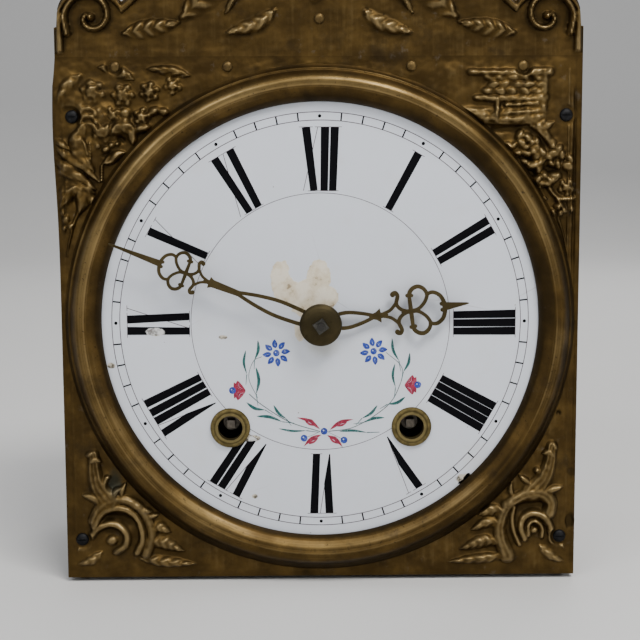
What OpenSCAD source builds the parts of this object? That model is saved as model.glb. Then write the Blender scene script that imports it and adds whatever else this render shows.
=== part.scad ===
// Comtoise clock head: an iron cage with two weight-driven trains, a bell,
// an enamel dial and an embossed brass surround. Millimetres, +Z up, front at -Y.
// The origin is under the middle of the clock, on the surface it stands on.

/* [Cage] */
// Width over the corner pillars
cage_w = 253; // [250:1:258]
// Depth over the corner pillars
cage_d = 136; // [134:1:142]
// Clear height between the two plates
cage_h = 236; // [232:1:246]
// Side of a square pillar
pillar = 10; // [8:0.5:11]
// Thickness of the iron plates
plate_t = 3; // [2:0.5:4]
// Height of the feet under the lower plate
foot_h = 12; // [10:1:16]
// Thickness of the upright bars that carry the arbors
bar_t = 4; // [3:0.5:4.5]
// Width of the upright bars
bar_w = 18; // [16:1:20]
// Thickness of the sheet iron doors and back
door_t = 1; // [0.8:0.1:1.5]

/* [Dial] */
// Width of the dial's rim under the bezel
dial_lip = 4; // [3:0.5:5]
// Rise of the dial's middle over its rim
dial_sag = 4.5; // [3:0.5:6]
// Thickness of the enamelled copper
dial_t = 1.8; // [1.4:0.1:2.2]
// Winding holes: distance to the side of the centre
winding_x = 45.5; // [45:0.5:48]
// Winding holes: distance below the centre
winding_drop = 53; // [51:0.5:55]
// Radius of the hole in a winding eyelet
key_hole_r = 6.2; // [5.5:0.1:6.8]
// Outer radius of a winding eyelet
eyelet_r = 10; // [9:0.5:11]

/* [Surround] */
// Height of the brass surround under the pediment
surround_h = 262; // [260:1:264]
// Thickness of the brass sheet
sheet_t = 1.2; // [1:0.1:1.4]
// Width of the round bezel moulding
bezel_w = 18.5; // [17:0.5:19]
// Width of the sheet beside the bezel, at its narrowest
sheet_rim = 1.7; // [1.5:0.1:3]
// Height of the bezel over the back of the sheet
bezel_rise = 10; // [9:0.5:12]
// Height of the pediment over the surround
pediment_h = 112; // [100:1:120]
// Height of the embossed ornament in the corners
relief = 3; // [2:0.5:4]

/* [Hands] */
// Gap from the tip of the hour hand to the edge of the dial
hour_short = 35; // [30:1:40]
// Reach of the minute hand over the edge of the dial
minute_over = 2; // [-4:1:3]
// Thickness of the hands
hand_t = 1.2; // [1:0.1:1.5]
// Radius of the collet over the hands
collet_r = 10.5; // [10:0.5:12]
// Angle of the hour hand, clockwise from twelve
hour_at = 82.2; // [0:0.1:360]
// Angle of the minute hand, clockwise from twelve
minute_at = 291.4; // [0:0.1:360]

/* [Trains] */
// Module of the great wheels
great_m = 1; // [0.98:0.01:1.02]
// Module of the second wheels
second_m = 1; // [0.96:0.01:1.04]
// Module of the third wheels
third_m = 0.9; // [0.88:0.01:0.94]
// Module of the hour wheel
hour_m = 0.9; // [0.88:0.01:0.92]
// Thickness of the wheels
wheel_t = 2.5; // [2:0.1:2.8]
// Radius of the line drums
drum_r = 28; // [24:0.5:30]
// Radius of the arbors
arbor_r = 2.5; // [2.2:0.1:2.6]
// Radius of the pivots in the bars
pivot_r = 1.5; // [1.2:0.1:1.8]
// Radius of the escape wheel
escape_r = 24; // [22:0.5:25]

/* [Bell] */
// Radius of the bell's mouth
bell_r = 60; // [54:1:62]
// Height of the bell
bell_h = 44; // [40:1:50]
// Thickness of the bell's wall
bell_t = 3; // [2.5:0.5:4]
// Height of the bell's mouth over the upper plate
bell_lift = 20; // [17:0.5:24]

/* [Hidden] */

$fn = 64;
seat = 0.05;   // gap between a piece and what it is fixed on
run = 0.1;     // running gap of a pivot or shaft in its hole
side = 0.4;    // end gap between turning pieces
eps = 0.01;    // overshoot of a cut

// Front: the bezel fills the sheet, and the dial fills the bezel
sheet_w = cage_w + 2 * (1.5 + sheet_t);
dial_r = min(sheet_w, surround_h) / 2 - sheet_rim - bezel_w;  // dial that shows inside the bezel
dial_out = dial_r + dial_lip;
bezel_r = dial_r + bezel_w;
hour_hand_l = dial_r - hour_short;
minute_hand_l = dial_r + minute_over;

// Heights
base_top = foot_h + plate_t;
roof = base_top + cage_h;
roof_top = roof + plate_t;
zc = base_top + cage_h / 2;              // height of the dial's centre

// Depths: y grows to the back, all from the front of the pillars
strap_t = 2.5;                           // dial straps on the pillars
strap_h = 14;
back_head = 1.8;                         // height of the back screws' heads
hand_gap = 2.8;                          // from the dial to the hour hand, and between the hands
collet_h = 3.7;
nut_t = 2.5;
nut_w = 5.8;                              // square hand nut
hand_pin_r = 1.8;                        // end of the cannon, under the nut
stub = 1.5;                              // arbor end in front of the nut
dial_front = strap_t + dial_t + dial_sag;  // middle of the dial over the pillars
hand_reach = dial_front + 2 * (hand_gap + hand_t) + collet_h + nut_t + stub;
cf = -(hand_reach + cage_d + door_t + back_head) / 2 + hand_reach;  // front of the pillars
cb = cf + cage_d;                        // back of the pillars
sheet_y = cf - strap_t;                  // back of the brass sheet
dial_y = cf - dial_front;                // front of the dial at its middle
hour_y = dial_y - hand_gap;              // back of the hour hand
minute_y = hour_y - hand_t - hand_gap;   // back of the minute hand
collet_y = minute_y - hand_t;            // back of the collet
nut_y = collet_y - collet_h;             // back of the hand nut
snail_y = cf + 17.5;                     // back of the snail and the rack
snail_t = 3;
hour_wheel_y = snail_y + side + wheel_t;
cannon_y = hour_wheel_y + 3 + wheel_t;   // back of the cannon and minute wheels
bar_y = cf + 30;                         // front face of the front bars
front_in = bar_y + bar_t;
second_y = front_in + 8 + wheel_t;       // back of the second wheels
drum_y = second_y + 7.5;                 // front of the drums
drum_l = cage_d - 96;                    // what the rest of the train leaves
ratchet_y = drum_y + drum_l;             // front of the ratchets
ratchet_t = 3;
great_y = ratchet_y + ratchet_t + side;  // front of the great wheels
third_y = drum_y + 22;                   // front of the third wheels
rear_y = great_y + wheel_t + 12;         // front face of the rear bars
rear_out = rear_y + bar_t;
escape_y = rear_y - 10;                  // front of the escape wheel
crutch_t = 2.5;
crutch_y = rear_out + 3;                 // front of the crutch
cock_t = 3;
cock_y = crutch_y + crutch_t + 1.5;      // front of the cock's plate

// Tooth counts
great_n = 84;
second_pinion = 7;
second_n = 60;
third_pinion = 8;
third_n = 64;
escape_pinion = 8;
escape_n = 30;
motion_n = 36;
hour_pinion = 7;
hour_n = 84;
pin_pinion = 8;
pin_n = 64;
gather_pinion = 8;
gather_n = 60;
fly_pinion = 7;

// Arbors, as [x, height over the dial's centre]
function mesh(m, a, b) = m * (a + b) / 2;
function above(p, d, dx) = [p[0] + dx, p[1] + sqrt(d * d - dx * dx)];
// The point at distance a from p and b from q, to the right of the way from p to q
function corner(p, a, q, b) =
  let (v = q - p, l = norm(v), s = (a * a - b * b + l * l) / (2 * l), h = sqrt(a * a - s * s))
  p + v * s / l + [v[1], -v[0]] * h / l;
centre = [0, 0];
going_at = [winding_x, -winding_drop];
strike_at = [-winding_x, -winding_drop];
motion_d = mesh(hour_m, hour_n, hour_pinion);
minute_m = motion_d / motion_n;
second_at = corner(going_at, mesh(great_m, great_n, second_pinion), centre, motion_d);
third_at = above(second_at, mesh(second_m, second_n, third_pinion), -16);
escape_at = above(third_at, mesh(third_m, third_n, escape_pinion), -third_at[0]);
anchor_d = escape_r + 10;                // anchor arbor over the escape arbor
anchor_at = escape_at + [0, anchor_d];
pin_at = above(strike_at, mesh(great_m, great_n, pin_pinion), -4.5);
gather_at = above(pin_at, mesh(second_m, pin_n, gather_pinion), 8);
fly_at = above(gather_at, mesh(third_m, gather_n, fly_pinion) + 0.35, -10);

// Wheel phases, counter-clockwise from the front, so that each pair is in mesh
function bearing(p, q) = atan2(q[1] - p[1], q[0] - p[0]);
function phase(p, wheel_phase, n, q, k) =
  let (a = bearing(p, q)) a + 180 - 180 / k - (wheel_phase - a) * n / k;
second_ph = phase(going_at, 0, great_n, second_at, second_pinion);
third_ph = phase(second_at, second_ph, second_n, third_at, third_pinion);
escape_ph = phase(third_at, third_ph, third_n, escape_at, escape_pinion);
minute_ph = phase(centre, 0, motion_n, second_at, motion_n);
hour_ph = phase(second_at, minute_ph, hour_pinion, centre, hour_n);
pin_ph = phase(strike_at, 0, great_n, pin_at, pin_pinion);
gather_ph = phase(pin_at, pin_ph, pin_n, gather_at, gather_pinion);
fly_ph = phase(gather_at, gather_ph, gather_n, fly_at, fly_pinion);

// Front pieces
screw_x = cage_w / 2 - pillar / 2;
screw_z = dial_r - 7;                    // straps, dial feet and upper front screws
screw_drop = 9;                          // lower front screws under the dial feet
front_screw_z = [screw_z, -screw_z - screw_drop];
screw_r = 1.6;
dial_foot_x = 28;
dial_foot_r = 2;
dial_pin_r = 0.8;
flange_d = 13;                           // depth of the surround's folded edge
lap = 10;                                // pediment sheet behind the surround
rivet_x = [-100, -45, 45, 100];
rivet_r = 1.5;
rivet_head_r = 2.6;

// Motion work
post_r = 2.2;
cannon_r = 3.4;                          // outside of the cannon's pipe
hour_pipe_in = cannon_r + 0.3;
hour_pipe_r = hour_pipe_in + 1.3;
dial_hole_r = hour_pipe_r + 1.2;
front_arbor_r = 2;                       // arbor ends in front of the front bars

// Winding arbors
journal_r = 4.2;
square_w = 4;
square_end = cf + 1.5;                   // front end of the winding squares
ratchet_n = 18;
ratchet_r = 18;

// Hammer, on an upright arbor at the back left
hammer_x = 22.5 - cage_w / 2;
hammer_y = cb - 32;
hammer_r = 2.5;
tail_t = 3.5;
tail_h = 5;
tail_y = second_y + 3.5;                 // front of the tail, beside the lifting pins
pin_circle = 24;
lift_pin_r = 1.5;
bell_y = (cf + cb) / 2;
bell_gap = 1.5;
stud_r = 3;
strike_z = roof_top + bell_lift + 5;     // height of the hammer's head
strike_dir = 188;                        // where it meets the bell, from the bell's axis

// Rack
rack_x = -25;
rack_w = 7;
snail_r = 30;                            // step for one o'clock
snail_step = 1.6;
rack_pitch = 2.2;

// Doors
gudgeon_r = 1.2;
knuckle_r = 2.4;
hinge_x = cage_w / 2 + knuckle_r + 0.6;
hinge_y = cb - 6;
knuckle_l = 12;
door_z = [base_top + 38, roof - 50];     // lower ends of the knuckles

// Pieces that stand along Y
module along_y(y0, y1) translate([0, y1, 0]) rotate([90, 0, 0]) linear_extrude(y1 - y0) children();
module rod(r, y0, y1) translate([0, y1, 0]) rotate([90, 0, 0]) cylinder(r = r, h = y1 - y0);
module turned(y) translate([0, y, 0]) rotate([90, 0, 0]) rotate_extrude($fn = 128) children();
module on(p) translate([p[0], 0, zc + p[1]]) children();
module mirrored() {
  children();
  mirror([1, 0, 0]) children();
}

function polar(r, a) = [r * cos(a), r * sin(a)];
function arc(c, r, a0, a1, n) = [for (i = [0 : n]) c + polar(r, a0 + (a1 - a0) * i / n)];
function reversed(v) = [for (i = [len(v) - 1 : -1 : 0]) v[i]];

// Teeth: [radius, half width in pitch fractions] from the root over the tip
module gear2d(n, m, ph, tooth) {
  polygon([for (i = [0 : n - 1]) for (t = tooth)
    polar(m * (n / 2 + t[0]), ph + 360 / n * (i + t[1]))]);
}
wheel_tooth = [[-1.3, -0.25], [0, -0.2], [0.95, -0.06], [0.95, 0.06], [0, 0.2], [-1.3, 0.25]];
leaf_tooth = [[-1.25, -0.15], [0, -0.15], [0.55, -0.08], [0.55, 0.08], [0, 0.15], [-1.25, 0.15]];

module crossed2d(n, m, ph, bore, rim, hub, arm) {
  inner = m * (n / 2 - 1.3) - rim;
  difference() {
    gear2d(n, m, ph, wheel_tooth);
    difference() {
      circle(inner);
      circle(hub);
      for (a = [0, 90]) rotate(ph + a) square([3 * inner, arm], center = true);
    }
    circle(bore);
  }
}
module pinion(n, m, ph, y0, y1) along_y(y0, y1) gear2d(n, m, ph, leaf_tooth);

// An arbor between the bars, with its pivots
module arbor(front = pivot_r, y_front = bar_y) {
  rod(arbor_r, front_in + side, rear_y - side);
  rod(pivot_r, rear_y - side - eps, rear_out);
  rod(front, y_front, front_in + side + eps);
}

// Cage

module corners(y0, y1) {
  for (x = [-1, 1]) for (y = [y0, y1]) translate([x * (cage_w - pillar) / 2, y, 0]) children();
}
module at_pillars() corners(cf + pillar / 2, cb - pillar / 2) children();
tenon_r = 3;
tenon_w = 8;
bar_x = [-47, 0, 38];
module at_tenons() {
  for (x = bar_x) for (y = [bar_y, rear_y]) translate([x, y + bar_t / 2, 0]) children();
}
module plate_blank(z) difference() {
  translate([-cage_w / 2, cf, z]) cube([cage_w, cage_d, plate_t]);
  at_pillars() translate([0, 0, z - 1]) cylinder(r = tenon_r + seat, h = plate_t + 2);
  at_tenons() translate([0, 0, z + plate_t / 2])
    cube([tenon_w + 2 * seat, bar_t + 2 * seat, plate_t + 2], center = true);
  translate([hammer_x, hammer_y, z - 1]) cylinder(r = hammer_r + run, h = plate_t + 2);
}
line_slot = [14, drum_l + 4];
notch = [32, 20];
module base_plate() color("#3a3632") difference() {
  plate_blank(foot_h);
  for (x = [-1, 1]) translate([x * (winding_x + drum_r), drum_y + drum_l / 2, foot_h])
    cube([line_slot[0], line_slot[1], 3 * plate_t], center = true);
  translate([0, cb, foot_h]) cube([notch[0], 2 * notch[1], 3 * plate_t], center = true);
}
module top_plate() color("#3a3632") difference() {
  plate_blank(roof);
  stay_bolt_hole();
  translate([0, bell_y, roof - 1]) cylinder(r = stud_r + seat, h = plate_t + 2);
}
nut_h = 4;
module corner_pillars() color("#35312d") difference() {
  at_pillars() {
    cylinder(r1 = pillar * 0.36, r2 = pillar / 2, h = foot_h);
    cylinder(r = tenon_r, h = roof_top + nut_h + 1);
    translate([-pillar / 2, -pillar / 2, base_top]) cube([pillar, pillar, cage_h]);
  }
  screw_holes(8);
  back_holes(8);
}
module pillar_nuts() color("#4a453f") at_pillars() translate([0, 0, roof_top]) difference() {
  cylinder(r = 6, h = nut_h, $fn = 6);
  translate([0, 0, -1]) cylinder(r = tenon_r + seat, h = nut_h + 2);
}
module screw_holes(d) for (x = [-1, 1]) for (z = front_screw_z)
  translate([x * screw_x, 0, zc + z]) rod(screw_r + seat, cf - strap_t - sheet_t - 1, cf + d);
back_screw_z = [base_top + 20, roof - 20];
module back_holes(d) for (x = [-1, 1]) for (z = back_screw_z)
  translate([x * screw_x, 0, z]) rod(screw_r + seat, cb - d, cb + door_t + 1);

// A bar between the plates; holes are [arbor, radius]
pin_r = 1.2;
module bar(x, y, holes) color("#3d3934") difference() {
  union() {
    along_y(y, y + bar_t) {
      translate([x - bar_w / 2, base_top]) square([bar_w, cage_h]);
      for (h = holes) translate([h[0][0], zc + h[0][1]]) circle(max(8, h[1] + 4));
    }
    translate([x - tenon_w / 2, y, foot_h]) cube([tenon_w, bar_t, cage_h + 2 * plate_t + 5]);
  }
  for (h = holes) on(h[0]) rod(h[1], y - 1, y + bar_t + 1);
  translate([x, y - 1, roof_top + pin_r + seat]) rotate([-90, 0, 0])
    cylinder(r = pin_r + seat, h = bar_t + 2);
}
module front_bar_left() bar(bar_x[0], bar_y, [[strike_at, journal_r + run], [pin_at, pivot_r + run],
  [gather_at, front_arbor_r + run], [fly_at, pivot_r + run]]);
module rear_bar_left() bar(bar_x[0], rear_y, [[strike_at, journal_r + run], [pin_at, pivot_r + run],
  [gather_at, pivot_r + run], [fly_at, pivot_r + run]]);
module front_bar_right() bar(bar_x[2], bar_y, [[going_at, journal_r + run],
  [second_at, front_arbor_r + run], [third_at, pivot_r + run]]);
module rear_bar_right() bar(bar_x[2], rear_y, [[going_at, journal_r + run],
  [second_at, pivot_r + run], [third_at, pivot_r + run]]);
module front_bar_centre() bar(bar_x[1], bar_y, [[centre, stud_r + seat],
  [escape_at, pivot_r + run], [anchor_at, pivot_r + run]]);
module rear_bar_centre() bar(bar_x[1], rear_y, [[escape_at, pivot_r + run], [anchor_at, arbor_r + 1.5]]);
module bar_pins() color("#6b655c") at_tenons() translate([0, 0, roof_top + pin_r + seat])
  rotate([90, 0, 0]) cylinder(r1 = pin_r, r2 = pin_r * 0.8, h = 14, center = true);

// Surround, pediment and dial

// Bezel section as [radius, height over the back of the sheet]
crest = 5.5;
crest_c = [bezel_r - 0.7 - crest, bezel_rise - crest];
lip_h = sheet_y - dial_y - fall(dial_r) + seat + sheet_t;
function cove(p, q, n) = [for (i = [1 : n])
  let (t = i / n, c = [q[0] + 5, q[1] + 0.4]) (1 - t) * (1 - t) * p + 2 * t * (1 - t) * c + t * t * q];
function bezel_line(inset) = let (r = crest - inset, end = crest_c + polar(r, 150)) concat(
  [[crest_c[0] + r, 0]], arc(crest_c, r, 0, 150, 10), cove(end, [dial_r, lip_h - inset], 5));
module bezel() on(centre) turned(sheet_y) polygon(concat(bezel_line(0), reversed(bezel_line(sheet_t))));

module scroll(r, turn, size) for (i = [0 : 2]) rotate(turn + 150 * i)
  translate([r * 0.16 * i, 0]) rotate_extrude(angle = 165, $fn = 48)
    translate([r * (1 - 0.3 * i), 0]) circle(size * (1 - 0.2 * i), $fn = 24);
module leaf(l, w) linear_extrude(relief) polygon(concat(
  [for (i = [-6 : 6]) [l * i / 6, w * (1 - i * i / 36)]],
  [for (i = [5 : -1 : -5]) [l * i / 6, -w * (1 - i * i / 36)]]));
module rosette(r) {
  cylinder(r = r * 0.42, h = relief * 0.9 + sheet_t);
  for (a = [0 : 60 : 300]) rotate(a) translate([r * 0.66, 0, 0]) sphere(r * 0.4, $fn = 24);
}
// Ornament of one lower and one upper corner, flat, placed from the corner of the sheet
module lower_ornament() translate([sheet_w / 2, -surround_h / 2, sheet_t]) {
  translate([-21.2, 26, 0]) scroll(15, 100, relief * 0.9);
  translate([-14.2, 59, -1]) rotate(70) leaf(14, 4.5);
  translate([-43.2, 12, -1]) rotate(-8) leaf(12, 4);
}
module upper_ornament() translate([sheet_w / 2, surround_h / 2, sheet_t]) {
  for (p = [[-33.2, -19, 8.5], [-16.2, -32, 7.5], [-15.2, -51, 6]])
    translate([p[0], p[1], -0.5]) rosette(p[2]);
  for (p = [[-50.2, -15, 170], [-24.2, -7, 40], [-8.2, -65, 80]])
    translate([p[0], p[1], -1]) rotate(p[2]) leaf(10, 3.6);
}
module on_sheet() translate([0, sheet_y, zc]) rotate([90, 0, 0]) children();
module surround() color("#7a5c2a") difference() {
  union() {
    along_y(sheet_y - sheet_t, sheet_y) translate([-sheet_w / 2, zc - surround_h / 2]) difference() {
      square([sheet_w, surround_h]);
      translate([sheet_w / 2, surround_h / 2]) circle(bezel_r - 0.7 - sheet_t, $fn = 128);
    }
    bezel();
    mirrored() translate([sheet_w / 2 - sheet_t, sheet_y - sheet_t, zc - surround_h / 2])
      cube([sheet_t, flange_d, surround_h]);
    translate([-sheet_w / 2, sheet_y - sheet_t, zc - surround_h / 2])
      cube([sheet_w, strap_t + sheet_t, sheet_t]);
    on_sheet() intersection() {
      mirrored() {
        lower_ornament();
        upper_ornament();
      }
      translate([0, 0, bezel_rise / 2]) cube([sheet_w - 4, surround_h - 4, bezel_rise], center = true);
    }
  }
  screw_holes(0);
  mirrored() for (z = front_screw_z) on([screw_x, z]) head_room(head_r);
  rivet_holes();
  at_rivets() head_room(rivet_head_r);
}
module head_room(r) rod(r + 0.4, sheet_y - bezel_rise, sheet_y - sheet_t);
stay_rivet_z = [18, 62];                 // over the surround
module at_rivets() {
  for (x = rivet_x) translate([x, 0, zc + surround_h / 2 - lap / 2]) children();
  for (z = stay_rivet_z) translate([0, 0, zc + surround_h / 2 + z]) children();
}
module rivet_holes() at_rivets() rod(rivet_r + seat, sheet_y - 4, sheet_y + 4);

// Pediment outline: ogee shoulders, scrolled ends and a shell at the top
shell_r = 26;
module pediment2d() {
  w = sheet_w / 2;
  top = pediment_h - shell_r;
  mirrored() {
    polygon(concat([[0, 0], [w, 0], [w, 14]],
      [for (i = [0 : 16]) let (t = i / 16)
        [(w - 8) * (1 - t) + 14 * t, 16 + (top - 6) * (0.5 - 0.5 * cos(180 * t))]],
      [[0, top + 10]]));
    translate([w - 18, 19]) circle(16.5);
  }
  translate([0, top]) circle(shell_r);
}
module pediment() color("#7a5c2a") difference() {
  union() {
    along_y(sheet_y - sheet_t, sheet_y) translate([0, zc + surround_h / 2]) pediment2d();
    translate([-sheet_w / 2 + 4, sheet_y, zc + surround_h / 2 - lap])
      cube([sheet_w - 8, sheet_t, lap + 6]);
    translate([0, sheet_y, zc + surround_h / 2]) rotate([90, 0, 0]) intersection() {
      union() {
        translate([0, pediment_h - shell_r, 0]) for (a = [0 : 30 : 180])
          rotate(a) translate([13, 0, 0.4]) leaf(9, 2.6);
        mirrored() {
          translate([sheet_w / 2 - 18, 19, sheet_t]) scroll(9, 20, relief * 0.8);
          translate([48, 34, 0.4]) rotate(140) leaf(24, 6);
          translate([84, 13, 0.4]) rotate(175) leaf(12, 4);
        }
        translate([0, 40, sheet_t - 0.5]) rosette(14);
      }
      translate([0, pediment_h / 2, bezel_rise / 2 + 0.3]) cube([sheet_w, pediment_h, bezel_rise], center = true);
    }
  }
  rivet_holes();
}
module pediment_rivets() color("#6d5226") {
  at_rivets() {
    rod(rivet_r, sheet_y - sheet_t - 0.5, sheet_y + sheet_t);
    turned(sheet_y - sheet_t) polygon(concat([[0, 0]],
      [for (a = [0 : 15 : 90]) [rivet_head_r * cos(a), 1.4 * sin(a)]]));
  }
  for (z = stay_rivet_z) translate([0, 0, zc + surround_h / 2 + z])
    rod(rivet_r, sheet_y, stay_y + stay_t + 0.6);
  translate([0, stay_bolt_y, roof - 1]) cylinder(r = 2.2, h = plate_t + stay_t + 1.5);
  translate([0, stay_bolt_y, roof_top + stay_t]) cylinder(r = 4, h = 2, $fn = 6);
}
stay_w = 16;
stay_t = 2;
stay_y = sheet_y + sheet_t + 0.05;
stay_bolt_y = stay_y + 18;
module pediment_stay() color("#3d3934") difference() {
  union() {
    translate([-stay_w / 2, stay_y, roof_top])
      cube([stay_w, stay_t, surround_h / 2 + zc + 68 - roof_top]);
    translate([-stay_w / 2, stay_y, roof_top]) cube([stay_w, 26, stay_t]);
  }
  for (z = stay_rivet_z) translate([0, 0, zc + surround_h / 2 + z])
    rod(rivet_r + seat, stay_y - 1, stay_y + 5);
  stay_bolt_hole();
}
module stay_bolt_hole() translate([0, stay_bolt_y, roof - 2]) cylinder(r = 2.2 + seat, h = 12);
head_r = 3.3;
module slot_screw(l) difference() {
  union() {
    rod(screw_r, -0.5, l);
    turned(0) polygon(concat([[0, 0]], [for (a = [0 : 15 : 90]) [head_r * cos(a), back_head * sin(a)]]));
  }
  translate([0, -back_head, 0]) cube([3 * head_r, 1.6, 0.9], center = true);
}
module case_screws() color("#2c2925") for (x = [-1, 1]) {
  for (z = front_screw_z) translate([x * screw_x, sheet_y - sheet_t, zc + z])
    slot_screw(strap_t + sheet_t + 7);
  for (z = back_screw_z) translate([x * screw_x, cb + door_t, z]) rotate(180) slot_screw(door_t + 7);
}

// The dial's front surface falls back by fall(r) at radius r
function fall(r) = dial_sag * r * r / (dial_out * dial_out);
function dome(from, up) = [for (i = [0 : 16])
  let (r = from + (dial_out - from) * i / 16) [r, up - fall(r)]];
eye_y = dial_y + fall(norm(going_at));   // dial front at the winding holes
eye_rise = 1.5;
barrel_r = key_hole_r + 1.4;
foot_at = norm([dial_foot_x, screw_z]);
module at_feet() for (x = [-1, 1]) for (z = [-1, 1]) on([x * dial_foot_x, z * screw_z]) children();
module at_winding() for (p = [going_at, strike_at]) on(p) children();
module dial() color("#e9e8e4") difference() {
  union() {
    on(centre) turned(dial_y) polygon(concat(dome(dial_hole_r, 0), reversed(dome(dial_hole_r, -dial_t))));
    at_feet() rod(dial_foot_r, dial_y + fall(foot_at) + dial_t - 0.8, cf + 5);
  }
  at_winding() rod(barrel_r + seat, dial_y - 5, cf);
  pin_bores();
}
module pin_bores() at_feet() translate([-5, cf + dial_pin_r + seat, 0]) rotate([0, 90, 0])
  cylinder(r = dial_pin_r + seat, h = 10);
module dial_pins() color("#6b655c") at_feet()
  translate([-6, cf + dial_pin_r + seat, 0]) rotate([0, 90, 0])
    cylinder(r1 = dial_pin_r, r2 = dial_pin_r * 0.8, h = 12);
module dial_straps() color("#3d3934") difference() {
  for (z = front_screw_z) translate([-cage_w / 2, cf - strap_t, zc + z - strap_h / 2])
    cube([cage_w, strap_t, strap_h + (z < 0 ? screw_drop : 0)]);
  at_feet() rod(dial_foot_r + seat, cf - strap_t - 1, cf + 1);
  screw_holes(1);
}
module winding_eyelets() color("#7d6433") difference() {
  union() {
    difference() {
      at_winding() turned(eye_y) polygon([[0, -1], [eyelet_r, -1], [eyelet_r, 0.7], [eyelet_r - 0.4, 1.2],
        [eyelet_r - 1.2, eye_rise], [0, eye_rise]]);
      on(centre) turned(dial_y) polygon(concat([[0, seat]], dome(1, seat), [[dial_out, -20], [0, -20]]));
    }
    at_winding() rod(barrel_r, eye_y - 1, eye_y + dial_t + 2.2);
  }
  at_winding() rod(key_hole_r, eye_y - 5, eye_y + 10);
}

// Back and doors

module back_panel() color("#453f38") difference() {
  translate([-cage_w / 2, cb, base_top]) cube([cage_w, door_t, cage_h + plate_t]);
  back_holes(1);
}
gudgeon_h = 5;
module at_hinges() for (z = door_z) translate([hinge_x, hinge_y, z]) children();
module door_gudgeons() color("#35312d") mirrored() at_hinges() {
  translate([cage_w / 2 - hinge_x, -2.4, -gudgeon_h])
    cube([hinge_x - cage_w / 2 + 1.8, 4.8, gudgeon_h - side]);
  translate([0, 0, -gudgeon_h]) cylinder(r = gudgeon_r, h = gudgeon_h + knuckle_l + 1);
}
door_x = cage_w / 2 + 0.5;
door_front = cf + flange_d - strap_t - sheet_t + 0.7;
door_low = foot_h + 1;
door_high = roof_top - 1;
knob_y = door_front + 9;
module door() difference() {
  union() {
    translate([door_x, door_front, door_low])
      cube([door_t, hinge_y - 4 - door_front, door_high - door_low]);
    at_hinges() {
      cylinder(r = knuckle_r, h = knuckle_l);
      translate([door_x - hinge_x, -5, 0]) cube([door_t, 5.5, knuckle_l]);
    }
  }
  at_hinges() translate([0, 0, -1]) cylinder(r = gudgeon_r + run, h = knuckle_l + 2);
  translate([door_x - 1, knob_y, zc]) rotate([0, 90, 0]) cylinder(r = 1.5 + seat, h = 5);
}
module knob() translate([door_x, knob_y, zc]) rotate([0, 90, 0]) {
  cylinder(r = 1.5, h = door_t + 2);
  translate([0, 0, door_t]) cylinder(r1 = 3.2, r2 = 2, h = 3);
  translate([0, 0, door_t + 5.5]) sphere(3.8);
}
module right_door() color("#453f38") door();
module left_door() color("#453f38") mirror([1, 0, 0]) door();
module right_door_knob() color("#8a6d35") knob();
module left_door_knob() color("#8a6d35") mirror([1, 0, 0]) knob();

// Bell

mouth_z = roof_top + bell_lift;
crown_z = mouth_z + bell_h;
function bell_line(r, h) = [for (i = [0 : 14]) let (a = 86 * i / 14)
  [r * pow(cos(a), 0.8) + 1.5 * pow(1 - i / 14, 4), h * pow(sin(a), 1.15)]];
module bell_post() color("#4a453f") translate([0, bell_y, 0]) {
  translate([0, 0, roof]) cylinder(r = stud_r, h = crown_z + 8 - roof);
  translate([0, 0, roof_top]) cylinder(r1 = 9, r2 = 5, h = crown_z - bell_t - seat - roof_top);
}
module bell() color("#8a8476") translate([0, bell_y, mouth_z]) difference() {
  rotate_extrude($fn = 128) polygon(concat([[0, bell_h]], reversed(bell_line(bell_r, bell_h)),
    bell_line(bell_r - bell_t, bell_h - bell_t), [[0, bell_h - bell_t]]));
  cylinder(r = stud_r + seat, h = bell_h + 1);
}
module bell_nut() color("#4a453f") translate([0, bell_y, crown_z + 0.05]) difference() {
  cylinder(r = 8, h = 5, $fn = 6);
  translate([0, 0, -1]) cylinder(r = stud_r + seat, h = 7);
}

// Hands and motion work

module centre_post() color("#6b655c") on(centre) {
  rod(stud_r, bar_y - 1, front_in);
  rod(6, bar_y - 3, bar_y);
  rod(post_r, collet_y + 2, bar_y - 1);
}
module cannon_wheel() color("#8a7440") on(centre) difference() {
  union() {
    along_y(cannon_y - wheel_t, cannon_y) crossed2d(motion_n, minute_m, 0, 1, 3, 7, 4);
    rod(cannon_r, collet_y, cannon_y);
    rod(hand_pin_r, nut_y - nut_t - stub, collet_y + 1);
  }
  rod(post_r + run, collet_y + 1.5, cannon_y + 1);
}
// A smooth line through the points p, n pieces between neighbours
function mid(a, b, c, d, t) = 0.5 * (2 * b + (c - a) * t + (2 * a - 5 * b + 4 * c - d) * t * t
  + (3 * b - a - 3 * c + d) * t * t * t);
function smooth(p, n) = let (e = len(p) - 1) concat([for (i = [0 : e - 1]) for (k = [0 : n - 1])
  mid(p[max(i - 1, 0)], p[i], p[i + 1], p[min(i + 2, e)], k / n)], [p[e]]);
function edge(p, a, b) = let (e = len(p) - 1) [for (i = [0 : e])
  let (d = p[min(i + 1, e)] - p[max(i - 1, 0)]) p[i] + [-d[1], d[0]] * (a + (b - a) * i / e) / norm(d)];
// A stroke along p, a wide at its start and b wide at its end
module ribbon(p, a, b) {
  q = smooth(p, 4);
  polygon(concat(edge(q, a / 2, b / 2), reversed(edge(q, -a / 2, -b / 2))));
}
module hand_knob(x, y, r) polygon(arc([x, y], r, 0, 345, 23));
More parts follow.
